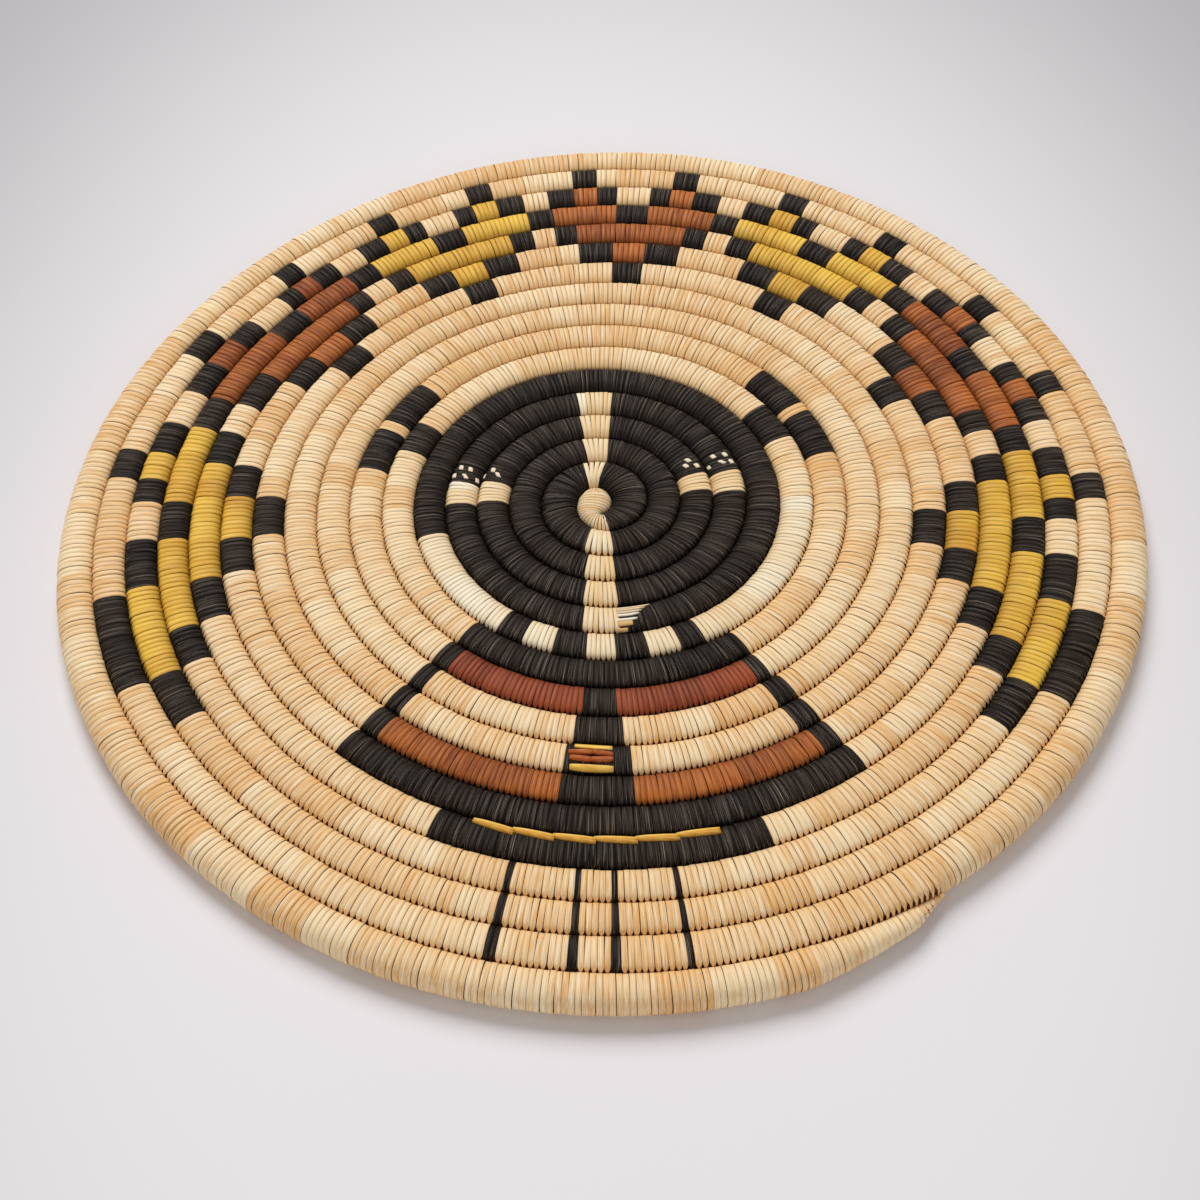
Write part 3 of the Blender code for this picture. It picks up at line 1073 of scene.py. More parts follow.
def join_rings(
    bm: bmesh.types.BMesh, rings: list[list], map_places: list[float], closed: bool, smooth: set[int]
) -> None:
    """Join rings of points with faces, and lay out the UV map along and across them.

    Args:
        bm: The mesh that is built, with its UV layer.
        rings: The rings of points, one after another.
        map_places: Place of each point of a ring across the map.
        closed: Whether the last ring meets the first.
        smooth: The sides that are shaded smooth.
    """
    map_layer = bm.loops.layers.uv["UVMap"]
    count = len(map_places)
    for step, ring in enumerate(rings if closed else rings[:-1]):
        following = rings[(step + 1) % len(rings)]
        for side in range(count):
            after = (side + 1) % count
            face = bm.faces.new((ring[side], ring[after], following[after], following[side]))
            face.smooth = side in smooth
            first, second = map_places[side], map_places[after]
            marks = ((step, first), (step, second), (step + 1, second), (step + 1, first))
            for loop, (along, across) in zip(face.loops, marks):
                loop[map_layer].uv = (along / len(rings), across)


def close_mesh(bm: bmesh.types.BMesh, name: str) -> Mesh:
    """Turn what was built into a mesh.

    Args:
        bm: The mesh that is built, which goes.
        name: The new mesh's name.

    Returns:
        The mesh, with its faces turned outward.
    """
    bmesh.ops.recalc_face_normals(bm, faces=bm.faces)
    mesh = bpy.data.meshes.new(name)
    bm.to_mesh(mesh)
    bm.free()
    return mesh


def evaluate_plain(source: Object, name: str) -> Object:
    """Turn a modified object into one with a plain mesh that stays above the floor.

    Args:
        source: The object with its modifier, which goes.
        name: The new object's name.

    Returns:
        The finished object, at the origin.
    """
    graph = bpy.context.evaluated_depsgraph_get()
    mesh = bpy.data.meshes.new_from_object(
        source.evaluated_get(graph), preserve_all_data_layers=True, depsgraph=graph
    )
    mesh.name = name
    places = np.empty((len(mesh.vertices), 3), dtype=np.float32)
    mesh.vertices.foreach_get("co", places.ravel())
    places[:, 2] = np.maximum(places[:, 2], 0.0)
    mesh.vertices.foreach_set("co", places.ravel())
    bpy.data.objects.remove(source, do_unlink=True)
    return add_object(name, mesh)


class GeometryTree(NodeGroup):
    """A Geometry Nodes tree with named inputs, which ends in Realize Instances and Set Material."""

    def __init__(self, name: str, inputs: dict[str, str]) -> None:
        """Make the tree and its sockets.

        Args:
            name: The tree's name.
            inputs: Each input's name and its kind of socket, after the geometry.
        """
        inputs = {"Geometry": GEOMETRY, **inputs, "Finish": "NodeSocketMaterial"}
        super().__init__("GeometryNodeTree", name, inputs, {"Geometry": GEOMETRY})

    def attribute(self, name: str, kind: str = "FLOAT") -> Socket:
        """Read a named attribute."""
        return self.node("GeometryNodeInputNamedAttribute", {"data_type": kind}, Name=name)[0]

    def realize(self, geometry: Socket) -> Socket:
        """Make the copies real."""
        return self.node("GeometryNodeRealizeInstances", Geometry=geometry)[0]

    def dress(self, geometry: Socket) -> None:
        """Set the finish and give the geometry out.

        Args:
            geometry: The finished geometry.
        """
        finish = self.enter["Finish"]
        dressed = self.node("GeometryNodeSetMaterial", Geometry=geometry, Material=finish)
        self.feed(self.leave, _0=dressed[0])

    def run(self, mesh: Mesh, name: str, **values: object) -> Object:
        """Run the tree on a mesh.

        Args:
            mesh: The mesh to start from.
            name: The name of the piece that comes out.
            **values: The tree's inputs by name, with _ for a space.

        Returns:
            The piece, with a plain mesh.
        """
        source = add_object(name, mesh)
        modifier = source.modifiers.new(self.tree.name, "NODES")
        modifier.node_group = self.tree
        for item in self.tree.interface.items_tree:
            label = item.name.replace(" ", "_")
            if item.in_out == "INPUT" and label in values:
                modifier[item.identifier] = values[label]
        return evaluate_plain(source, name)


class StitchTree(GeometryTree):
    """Sews one stitch at each point, fanned to the coil's curve."""

    def __init__(self) -> None:
        """Build the tree."""
        spreads = ("Slant", "Width Spread", "Height Spread")
        inputs = {"Stitch": "NodeSocketObject", **dict.fromkeys(spreads, NUMBER)}
        super().__init__("sew_stitches", {**inputs, "Seed": "NodeSocketInt"})
        usual = (self.attribute("heading"), 1.0, 1.0)
        heading, wider, prouder = (
            self.maths("ADD", value, self.spread(label, number))
            for number, (label, value) in enumerate(zip(spreads, usual))
        )
        size = self.attribute("size", "FLOAT_VECTOR")
        uneven = self.combine(X=wider, Y=prouder, Z=prouder)
        sewn = self.node(
            "GeometryNodeInstanceOnPoints", Points=self.enter["Geometry"],
            Instance=self.node("GeometryNodeObjectInfo", Object=self.enter["Stitch"])["Geometry"],
            Rotation=self.combine(Z=heading),
            Scale=self.vector_maths("MULTIPLY", _0=size, _1=uneven)[0],
        )
        lever = self.maths("MULTIPLY", self.attribute("across"), self.attribute("out"))
        fan = self.attribute("fan", "FLOAT_VECTOR")
        offset = self.vector_maths("SCALE", _0=fan, Scale=lever)[0]
        real = self.realize(sewn[0])
        self.dress(self.node("GeometryNodeSetPosition", Geometry=real, Offset=offset)[0])

    def spread(self, label: str, seed_offset: int) -> Socket:
        """Give a random number between minus and plus a named input.

        Args:
            label: The input's name.
            seed_offset: What this number adds to the seed.

        Returns:
            The number, another one for each point.
        """
        most = self.enter[label]
        return self.node(
            "FunctionNodeRandomValue", {"data_type": "FLOAT"},
            Seed=self.maths("ADD", self.enter["Seed"], seed_offset),
            _2=self.maths("MULTIPLY", most, -1.0), _3=most,
        )[1]


class BundleTree(GeometryTree):
    """Sweeps the bundle's round section along its path."""

    def __init__(self) -> None:
        """Build the tree."""
        super().__init__("lay_bundle", {"Sides": "NodeSocketInt"})
        path = self.node("GeometryNodeMeshToCurve", Mesh=self.enter["Geometry"])[0]
        path = self.node("GeometryNodeSetCurveNormal", {"mode": "Z_UP"}, Curve=path)[0]
        thick = self.attribute("thick")
        sized = self.node("GeometryNodeSetCurveRadius", Curve=path, Radius=thick)[0]
        ring = self.node(
            "GeometryNodeCurvePrimitiveCircle", Resolution=self.enter["Sides"], Radius=1.0
        )[0]
        swept = self.node(
            "GeometryNodeCurveToMesh", Curve=sized, Profile_Curve=ring, Scale=thick, Fill_Caps=True
        )
        self.dress(self.realize(swept[0]))


# Pieces


def finish_piece(piece: Object, nodes: list[str]) -> None:
    """Make a piece ride on the plaque and stand for its CAD nodes, and log it.

    Args:
        piece: The finished object.
        nodes: The CAD nodes that it stands for, which may be none.
    """
    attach(piece, BODY)
    if nodes:
        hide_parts(*nodes)
    log.info("%s: %d faces, stands for %s", piece.name, len(piece.data.polygons), nodes or "itself")


@dataclass(frozen=True)
class StitchShape:
    """One stitch round the bundle, on a coil of half width and half height 1.

    Attributes:
        form: Which kind of stitch.
        places: Angles round the bundle of its rings of points.
        sewn_widths: The width of a sewn stitch there, as a share of the room it has.
        rim_widths: The same for a stitch on the rim.
        painted_shades: The painted shade of each, from 0 to 1, which is deepest down between two rows.
        sewn_in: How far past the coil's width the stitch goes on its inner side.
        sewn_out: The same on its outer side, where the next row holds it.
        body: How thick the splint is, as a share of the half width.
        shoulder: Where the splint's rounded edge begins, as a share of half its width.
        edge_on_map: Width of its rounded edge on the UV map.
        rim_power: The rim's outline on its outer side, where 2 is round.
    """

    form: StitchForm
    places: tuple[float, ...] = (-20, 10, 27, 38, 46, 54, 64, 84, 102, 120, 136, 150, 200, 240, 275, 312)
    sewn_widths: tuple[float, ...] = (
        0.6, 0.44, 0.5, 0.84, 0.98, 1.0, 1.0, 1.0, 1.0, 1.0, 1.0, 1.0, 0.85, 0.97, 1.0, 0.98
    )
    rim_widths: tuple[float, ...] = (
        1.0, 1.0, 1.0, 1.0, 1.0, 1.0, 1.0, 1.0, 1.0, 1.0, 1.0, 1.0, 0.85, 0.97, 1.0, 1.0
    )
    # Painted shade of each ring: full down in the valleys between rows, none on the crown.
    painted_shades: tuple[float, ...] = (1, 0.9, 0.6, 0.3, 0.14, 0.04, 0, 0.02, 0.16, 0.34, 0.55, 0.75, 1, 1, 1, 1)
    sewn_in: float = 0.14
    sewn_out: float = 0.04
    body: float = 0.027
    shoulder: float = 0.93
    edge_on_map: float = 0.08
    rim_power: float = 2.0

    def build(self) -> Object:
        """Build the stitch as a closed ring of splint.

        Returns:
            The object that the tree copies, with its UV map and its across, out and tip attributes.
        """
        on_rim = self.form is StitchForm.RIM
        widths = self.rim_widths if on_rim else self.sewn_widths
        outline = CoilOutline(outer=self.rim_power) if on_rim else CoilOutline()
        sewn_out = 0.0 if on_rim else self.sewn_out
        edge = 0.5 * self.shoulder
        section = ((-0.5, 0), (-edge, 1), (edge, 1), (0.5, 0))
        map_places = [0, self.edge_on_map, 1 - self.edge_on_map, 1]
        bm = bmesh.new()
        bm.loops.layers.uv.new("UVMap")
        rings = []
        flats, highs, _, _ = outline.at(np.array(self.places))
        for flat, high, width in zip(flats, highs, widths):
            reach = 1 - self.sewn_in * min(0.0, flat) + sewn_out * max(0.0, flat)
            ring = []
            for across, top in section:
                lift = 1 - self.body * (1 - top)
                ring.append(bm.verts.new((across * width, lift * reach * flat, lift * high)))
            rings.append(ring)
        join_rings(bm, rings, map_places, closed=True, smooth={1})
        mesh = close_mesh(bm, f"stitch_{self.form.name.lower()}")
        places = np.array([vert.co for vert in mesh.vertices])
        painted_shades = np.repeat(self.painted_shades, len(section))
        # On the rim the outer side lies in no valley, so it takes no painted shade.
        if on_rim:
            painted_shades = np.where(places[:, 1] > 0, 0, painted_shades)
        store(mesh, across=places[:, 0], out=places[:, 1], tip=painted_shades)
        return add_object(mesh.name, mesh)


@dataclass
class Stitches:
    """The stitches along the coil, one entry of each list per stitch.

    Attributes:
        turn: Where it sits.
        width: The room that it takes along the coil.
        splint: Its colour.
        tone: Its tone, from 0 for pale to 1 for deep.
        chance: Its own number, which shifts its fibres.
    """

    turn: np.ndarray
    width: np.ndarray
    splint: np.ndarray
    tone: np.ndarray
    chance: np.ndarray

    def pick(self, wanted: np.ndarray) -> "Stitches":
        """Give only the wanted stitches."""
        return Stitches(*(getattr(self, name)[wanted] for name in self.__dataclass_fields__))


@dataclass(frozen=True)
class StitchPlan:
    """Shares the coil out between its stitches.

    Attributes:
        spacing: Turns along the coil and the room that a stitch takes there.
        stitches_per_leaf: Least and most stitches sewn with one leaf, which share a tone.
        tones: Middle and spread of the leaves' tones.
        pale_leaves: Share of the leaves that are much paler, and their deepest tone.
        stitch_tone: How far a stitch's tone strays from its leaf's.
        unevenness: How far a stitch strays from its place, as a share of its room.
        seed: Seed of all that is random here.
    """

    spacing: tuple[tuple[float, float], ...] = (
        (0.6, 1.25 * MM), (1.5, 1.5 * MM), (6, 1.6 * MM), (12, 1.85 * MM), (17, 1.95 * MM)
    )
    stitches_per_leaf: tuple[int, int] = (4, 17)
    tones: tuple[float, float] = (0.53, 0.2)
    pale_leaves: tuple[float, float] = (0.14, 0.2)
    stitch_tone: float = 0.09
    unevenness: float = 0.05
    seed: int = 7

    def share_out(self, tape: ColourTape, ruler: CoilRuler) -> Stitches:
        """Give every run of colour a whole number of stitches.

        Args:
            tape: The runs of colour.
            ruler: The ruler along the coil.

        Returns:
            The stitches, from the start knot to the tail.
        """
        rng = np.random.default_rng(self.seed)
        turns, rooms = zip(*self.spacing)
        lists = {"turn": [], "width": [], "splint": [], "tone": []}
        leaves = {splint: [0, 0.0] for splint in Splint}
        for run in tape.runs:
            first = ruler.length_at(run.start)
            length = ruler.length_at(run.end) - first
            room = float(np.interp((run.start + run.end) / 2, turns, rooms))
            count = max(1, round(length / room))
            step = length / count
            stray = rng.uniform(-self.unevenness, self.unevenness, count)
            stray[0] = stray[-1] = 0
            middles = first + step * (np.arange(count) + 0.5 + stray)
            lists["turn"].extend(ruler.turns_at(middles))
            lists["width"].extend([step] * count)
            lists["splint"].extend([run.splint] * count)
            for _ in range(count):
                leaf = leaves[run.splint]
                if leaf[0] == 0:
                    pale, deepest = self.pale_leaves
                    usual = rng.normal(*self.tones)
                    tone = rng.uniform(0, deepest) if rng.uniform() < pale else usual
                    leaf[:] = [rng.integers(*self.stitches_per_leaf), tone]
                leaf[0] -= 1
                lists["tone"].append(leaf[1] + rng.normal(0, self.stitch_tone))
        chance = rng.uniform(0, 1, len(lists["turn"]))
        tone = np.clip(lists["tone"], 0, 1)
        splint = np.array(lists["splint"], dtype=object)
        return Stitches(np.array(lists["turn"]), np.array(lists["width"]), splint, tone, chance)


@dataclass
class SewnRows:
    """One piece of stitching: the stitches of one colour on some rounds.

    Attributes:
        name: The piece's name.
        splint: Its colour.
        first: First turn of its rounds.
        last: Last turn of its rounds.
        nodes: The CAD nodes that it stands for.
        slant: The most that a stitch leans, in radians.
        width_spread: How far a stitch's width varies, as a share.
        height_spread: How far a stitch stands proud or low, as a share.
        least_fan_reach: Distance from the middle, in rows, within which stitches fan no further.
    """

    name: str
    splint: Splint
    first: float
    last: float
    nodes: list[str]
    slant: float = math.radians(1.2)
    width_spread: float = 0.03
    height_spread: float = 0.018
    least_fan_reach: float = 0.6

    def build(
        self,
        stitches: Stitches,
        shape: CoilShape,
        tree: GeometryTree,
        stitch: Object,
        finish: Material,
        seed: int,
    ) -> Object:
        """Sew the piece.

        Args:
            stitches: All stitches of the plaque.
            shape: The coil.
            tree: The tree that sews.
            stitch: The stitch that it copies.
            finish: The splint's material.
            seed: Seed of the stitches' slants, widths and heights.

        Returns:
            The piece as a plain mesh.
        """
        wanted = (stitches.turn >= self.first) & (stitches.turn < self.last)
        wanted &= np.array([splint is self.splint for splint in stitches.splint])
        chosen = stitches.pick(wanted)
        section = shape.section(chosen.turn)
        heading = np.arctan2(section.outward[:, 1], section.outward[:, 0]) - math.pi / 2
        reach = np.linalg.norm(section.middle - np.array(shape.origin), axis=1)
        room = chosen.width
        side = np.column_stack([np.cos(heading), np.sin(heading), 0 * heading])
        fan_reach = np.maximum(reach, shape.pitch * self.least_fan_reach)
        mesh = bpy.data.meshes.new(self.name)
        points = np.column_stack([section.middle, np.full(len(heading), section.level)])
        mesh.from_pydata(points.tolist(), [], [])
        store(
            mesh, heading=heading,
            size=np.column_stack([room, section.half_width, section.half_height]),
            fan=side * (room * section.half_width / fan_reach)[:, None],
            tone=chosen.tone, chance=chosen.chance,
        )
        piece = tree.run(
            mesh, self.name, Stitch=stitch, Slant=self.slant, Width_Spread=self.width_spread,
            Height_Spread=self.height_spread, Seed=seed, Finish=finish,
        )
        finish_piece(piece, self.nodes)
        return piece


@dataclass
class GrassBundle:
    """The grass bundle inside the stitches, one unbroken coil.

    Attributes:
        fill: Its radius as a share of half the sewn coil's width or height, whichever is less.
        steps_per_turn: Points along one turn.
        sides: Sides of its round section.
        ends: The turns where it starts and ends.
    """

    fill: float = 0.93
    steps_per_turn: int = 180
    sides: int = 8
    ends: tuple[float, float] = (0.79, 16.838)

    def build(
        self, shape: CoilShape, tape: ColourTape, tree: GeometryTree, finish: Material
    ) -> Object:
        """Lay the bundle.

        Args:
            shape: The coil.
            tape: The colours of the stitches round it.
            tree: The tree that sweeps the section.
            finish: The grass material.

        Returns:
            The bundle as a plain mesh.
        """
        first, last = self.ends
        turns = np.linspace(first, last, math.ceil((last - first) * self.steps_per_turn))
        section = shape.section(turns)
        points = np.column_stack([section.middle, np.full(len(turns), section.level)])
        mesh = bpy.data.meshes.new("grass_bundle")
        edges = [(step, step + 1) for step in range(len(turns) - 1)]
        mesh.from_pydata(points.tolist(), edges, [])
        dye = np.zeros(len(turns))
        for run in tape.runs:
            if run.splint is not Splint.NATURAL:
                dye[(turns > run.start) & (turns < run.end)] = 1
        thick = np.minimum(section.half_width, section.half_height) * self.fill
        store(mesh, thick=thick, dye=dye)
        piece = tree.run(mesh, mesh.name, Sides=self.sides, Finish=finish)
        finish_piece(piece, ["foundation_bundle"])
        return piece


class SplintStrip:
    """Builds flat strips of splint along paths, all into one mesh."""

    # Of a strip's section: half of its flat back and the depth of its edges, as shares of the
    # width and the thickness, and the places of its points across the UV map
    BACK = 0.2
    SKIRT = -0.4
    MAP_PLACES = (0, 0.1, 0.3, 0.7, 0.9, 1)

    def __init__(self, name: str) -> None:
        """Start an empty piece.

        Args:
            name: Its name, whose length is the seed of its strips' chances.
        """
        self.name = name
        self.bm = bmesh.new()
        self.map_layer = self.bm.loops.layers.uv.new("UVMap")
        self.tone_layer = self.bm.verts.layers.float.new("tone")
        self.chance_layer = self.bm.verts.layers.float.new("chance")
        self.painted_shade_layer = self.bm.verts.layers.float.new("tip")
        self.rng = np.random.default_rng(len(name))

    def new_point(
        self, place: np.ndarray, tone: float, shade: float, chance: float = 0.0
    ) -> bmesh.types.BMVert:
        """Add one point.

        Args:
            place: Where it is.
            tone: Its tone.
            shade: How much painted shade it takes, from 0 to 1.
            chance: The strip's own number, which shifts its fibres.

        Returns:
            The point.
        """
        vert = self.bm.verts.new(place.tolist())
        vert[self.tone_layer] = tone
        # The shade is painted: the material turns the point towards its valley colour.
        vert[self.painted_shade_layer] = shade
        vert[self.chance_layer] = chance
        return vert

    def add(
        self,
        points: np.ndarray,
        normals: np.ndarray,
        sides: np.ndarray,
        widths: np.ndarray,
        thickness: float,
        tone: float,
        crown: float = 0.55,
        shoulder: float = 0.44,
        painted_shades: tuple[float, ...] = (),
    ) -> None:
        """Add one strip with a crowned back and closed ends.

        Args:
            points: Its middle line, on the surface that it lies on.
            normals: The surface's normals there.
            sides: The directions of its width there.
            widths: Its full width at each point.
            thickness: How thick it is.
            tone: Its tone, from 0 for pale to 1 for deep.
            crown: How high its edges are, as a share of the thickness.
            shoulder: Where its edges begin, as a share of its width.
            painted_shades: How much painted shade its first points take, from 0 to 1.
        """
        section = (
            (-0.5, self.SKIRT), (-shoulder, crown), (-self.BACK, 1),
            (self.BACK, 1), (shoulder, crown), (0.5, self.SKIRT),
        )
        chance = float(self.rng.uniform())
        rings = []
        shades = [*painted_shades, *[0.0] * (len(points) - len(painted_shades))]
        for point, normal, side, width, shade in zip(points, normals, sides, widths, shades):
            ring = []
            for across, up in section:
                place = point + side * (across * width) + normal * (up * thickness)
                ring.append(self.new_point(place, tone, shade, chance))
            rings.append(ring)
        join_rings(self.bm, rings, self.MAP_PLACES, closed=False, smooth=set(range(len(section))))
        for ring in (rings[0], rings[-1]):
            face = self.bm.faces.new(ring)
            for loop, across in zip(face.loops, self.MAP_PLACES):
                loop[self.map_layer].uv = (0, across)

    def finish(self, material: Material, slot: str, nodes: list[str]) -> Object:
        """Close the piece and dress it.

        Args:
            material: Its finish.
            slot: The record's material slot; not used.
            nodes: The CAD nodes that it stands for.

        Returns:
            The piece.
        """
        mesh = close_mesh(self.bm, self.name)
        mesh.materials.append(material)
        piece = add_object(self.name, mesh)
        finish_piece(piece, nodes)
        return piece


@dataclass(frozen=True)
class LaidStrip:
    """A strip of splint laid along a round, over its stitches.

    Attributes:
        start: Turn where it starts.
        end: Turn where it ends.
        place: Where it lies round the bundle: at its start, in its middle and at its end.
        width: Its width.
        tone: Its tone.
        narrow: Its width at the start, in the middle and at the end, as shares.
        thickness: How thick it is.
        lift: How far it stands off the stitches at its start, in its middle and at its end.
    """

    start: float
    end: float
    place: AlongStrip
    width: float
    tone: float
    narrow: AlongStrip
    thickness: float
    lift: AlongStrip

    STEPS = 9
    TAPER = 3

    def taper(self, along: np.ndarray, values: AlongStrip) -> np.ndarray:
        """Give a value that changes only near the strip's ends.

        Args:
            along: Places along the strip, from 0 to 1.
            values: The value at its start, in its middle and at its end.

        Returns:
            The value at each place.
        """
        ends = np.where(along < 0.5, values[0], values[2])
        return values[1] + (ends - values[1]) * np.abs(2 * along - 1) ** self.TAPER

    def lay(self, shape: CoilShape, strip: SplintStrip) -> None:
        """Add the strip to a piece.

        Args:
            shape: The coil that it lies on.
            strip: The piece.
        """
        along = np.linspace(0, 1, self.STEPS)
        section = shape.section(self.start + (self.end - self.start) * along)
        place = np.interp(along, (0, 0.5, 1), self.place)
        points, normals, around = section.surface(place)
        points = points + normals * self.taper(along, self.lift)[:, None]
        widths = self.width * self.taper(along, self.narrow)
        strip.add(points, normals, around, widths, self.thickness, self.tone)


def on_round(number: int, angle: float) -> float:
    """Give the turn of an angle on a round."""
    return number + angle / 360


@dataclass(frozen=True)
class Belt:
    """The row of gold stitches along the valley inside the belt's round, each of two strands.

    Attributes:
        round_number: The round whose inner valley it follows.
        angles: Where it starts and ends.
        count: Number of stitches.
        places: Where a stitch lies round the bundle at its start, in its middle and at its end.
        strands: For each strand, its place from the stitch's, its width, its thickness and its tone.
        overlap: How far a stitch reaches under the next, as a share of its length.
        narrow: A strand's width at its start, in its middle and at its end, as shares.
        lift: How far it stands off the stitches there.
    """

    round_number: int = 12
    angles: tuple[float, float] = (252.6, 284.0)
    count: int = 6
    places: AlongStrip = (136, 128, 119)
    # The upper strand's pale tone and the lower strand's deep tone are a painted highlight and painted
    # shade on one round gold stitch.
    strands: tuple[tuple[float, float, float, float], ...] = (
        (4, 1.4 * MM, 1.35 * MM, 0.25), (-9, 1.25 * MM, 1.15 * MM, 0.8),
    )
    overlap: float = 0.05
    narrow: AlongStrip = (0.5, 1.0, 0.75)
    lift: AlongStrip = (-0.3 * MM, 0.0, -0.2 * MM)

    def build(self, shape: CoilShape, finish: Material) -> None:
        """Lay the stitches, each tucked under the one before, as pieces of their own.

        Args:
            shape: The coil.
            finish: Their material.
        """
        first, last = (on_round(self.round_number, angle) for angle in self.angles)
        length = (last - first) / self.count
        for number in range(self.count):
            start = first + number * length
            end = start + length * (1 + self.overlap)
            strip = SplintStrip(f"gold_stitch_{number + 1}")
            for offset, width, thickness, tone in self.strands:
                places = tuple(place + offset for place in self.places)
                LaidStrip(
                    start, end, places, width, tone, self.narrow, thickness, self.lift
                ).lay(shape, strip)
            strip.finish(finish, Splint.YELLOW.value, [f"belt_stitch_{number + 1}"])


@dataclass(frozen=True)
class Mouth:
    """The strips laid over the black of one round below the red band.

    Attributes:
        round_number: The round.
        yellow: First and last angle, place round the bundle at both and width in mm of each yellow
            strip.
        rust: The same of each rust strip.
        tones: Tones of the strips, in turn.
        narrow: A strip's width at its start, in its middle and at its end, as shares.
        thickness: How thick a strip is.
        lift: How far it stands off the stitches at its start, in its middle and at its end.
    """

    round_number: int = 9
    yellow: tuple[tuple[float, float, float, float, float], ...] = (
        (264.4, 270.9, 130, 125, 2.4), (264.0, 271.0, 56, 55, 2.6),
    )
    rust: tuple[tuple[float, float, float, float, float], ...] = (
        (263.5, 267.7, 97, 103, 2.0), (267.4, 271.0, 103, 96, 2.0),
        (263.8, 267.4, 88, 86.5, 2.2), (267.2, 271.0, 86.5, 88, 2.2),
    )
    tones: tuple[float, float] = (0.1, 0.35)
    narrow: AlongStrip = (0.75, 1.0, 0.8)
    thickness: float = 0.8 * MM
    lift: AlongStrip = (0.0, 0.1 * MM, 0.0)

    def build(self, shape: CoilShape, yellow: Material, rust: Material) -> None:
        """Lay the yellow strips and the rust ones between them, as two pieces.

        Args:
            shape: The coil.
            yellow: Material of the yellow strips.
            rust: Material of the rust strips.
        """
        for name, rows, finish, slot in (
            ("yellow_laid_strips", self.yellow, yellow, Splint.YELLOW),
            ("rust_laid_strips", self.rust, rust, Splint.RUST),
        ):
            strip = SplintStrip(name)
            for number, (first, last, place, end_place, width) in enumerate(rows):
                LaidStrip(
                    on_round(self.round_number, first), on_round(self.round_number, last),
                    (place, (place + end_place) / 2, end_place), width * MM,
                    self.tones[number % 2], self.narrow, self.thickness, self.lift,
                ).lay(shape, strip)
            strip.finish(finish, slot.value, [])


@dataclass(frozen=True)
class LightMarks:
    """The light splints laid over the black rounds: the slanting strips and the small dots.

    Attributes:
        strips_round: The round under the slanting strips.
        strips_start: The angle where they start.
        strips: Place round the bundle, end angle, width in mm, tone and share of the width left at
            the end, of each slanting strip.
        strips_turn: How far round the bundle a strip's end lies from its start, in degrees.
        strip_thickness: How thick a strip is.
        strip_lift: How far it stands off the stitches at its start, in its middle and at its end.
        dots: Round, angle and place round the bundle of each dot.
        dot_size: Length and width of a dot.
        dot_turn: How far round the bundle a dot's ends lie from its middle, in degrees.
        dot_tone: A dot's tone.
        dot_narrow: Its width at its start, in its middle and at its end, as shares.
        dot_thickness: How thick it is.
        dot_lift: How far it stands off the stitches there.
    """

    strips_round: int = 4
    strips_start: float = 274.5
    strips: tuple[tuple[float, float, float, float, float], ...] = (
        (126.5, 287.8, 1.0, 0.6, 0.15), (112.5, 285.6, 0.85, 0.55, 0.2), (101.2, 284.0, 0.8, 0.4, 0.3),
        (91.8, 282.8, 1.0, 0.0, 0.4), (83.2, 281.6, 1.05, 0.0, 0.5), (69, 279.6, 1.8, 0.95, 0.9),
        (38, 277.6, 1.6, 1.0, 0.85),
    )
    strips_turn: float = 2
    strip_thickness: float = 0.5 * MM
    strip_lift: AlongStrip = (-0.1 * MM, 0.05 * MM, -0.1 * MM)
    dots: tuple[tuple[int, float, float], ...] = (
        (3, 30.3, 87), (3, 27.0, 95), (3, 24.7, 72),
        (4, 26.4, 102), (4, 25.3, 76), (4, 21.7, 90), (4, 20.8, 66), (4, 22.1, 140),
        (4, 164.5, 72), (4, 164.5, 94), (4, 168.7, 53), (4, 168.7, 90), (4, 168.9, 135),
        (3, 161.4, 71), (3, 164.8, 30), (3, 163.9, 89),
    )
    dot_size: float = 1.75 * MM
    dot_turn: float = 2
    dot_tone: float = 0.3
    dot_narrow: AlongStrip = (0.92, 1.0, 0.92)
    dot_thickness: float = 0.35 * MM
    dot_lift: AlongStrip = (-0.08 * MM, 0.06 * MM, -0.08 * MM)

    def build(self, shape: CoilShape, finish: Material) -> None:
        """Lay the strips and the dots as two pieces.

        Args:
            shape: The coil.
            finish: Their material.
        """
        start = on_round(self.strips_round, self.strips_start)
        strip = SplintStrip("slanting_light_strips")
        for place, last, width, tone, left in self.strips:
            places = (place, place, place + self.strips_turn)
            LaidStrip(
                start, on_round(self.strips_round, last), places, width * MM, tone,
                (1.0, 1.0, left), self.strip_thickness, self.strip_lift,
            ).lay(shape, strip)
        strip.finish(finish, Splint.NATURAL.value, [])
        dots = SplintStrip("light_dots")
        for number, angle, place in self.dots:
            turn = on_round(number, angle)
            reach = shape.pitch * (turn + shape.start_reach - 0.5)
            half = self.dot_size / 2 / reach / math.tau
            LaidStrip(
                turn - half, turn + half, (place - self.dot_turn, place, place + self.dot_turn),
                self.dot_size, self.dot_tone, self.dot_narrow, self.dot_thickness, self.dot_lift,
            ).lay(shape, dots)
        dots.finish(finish, Splint.NATURAL.value, [])


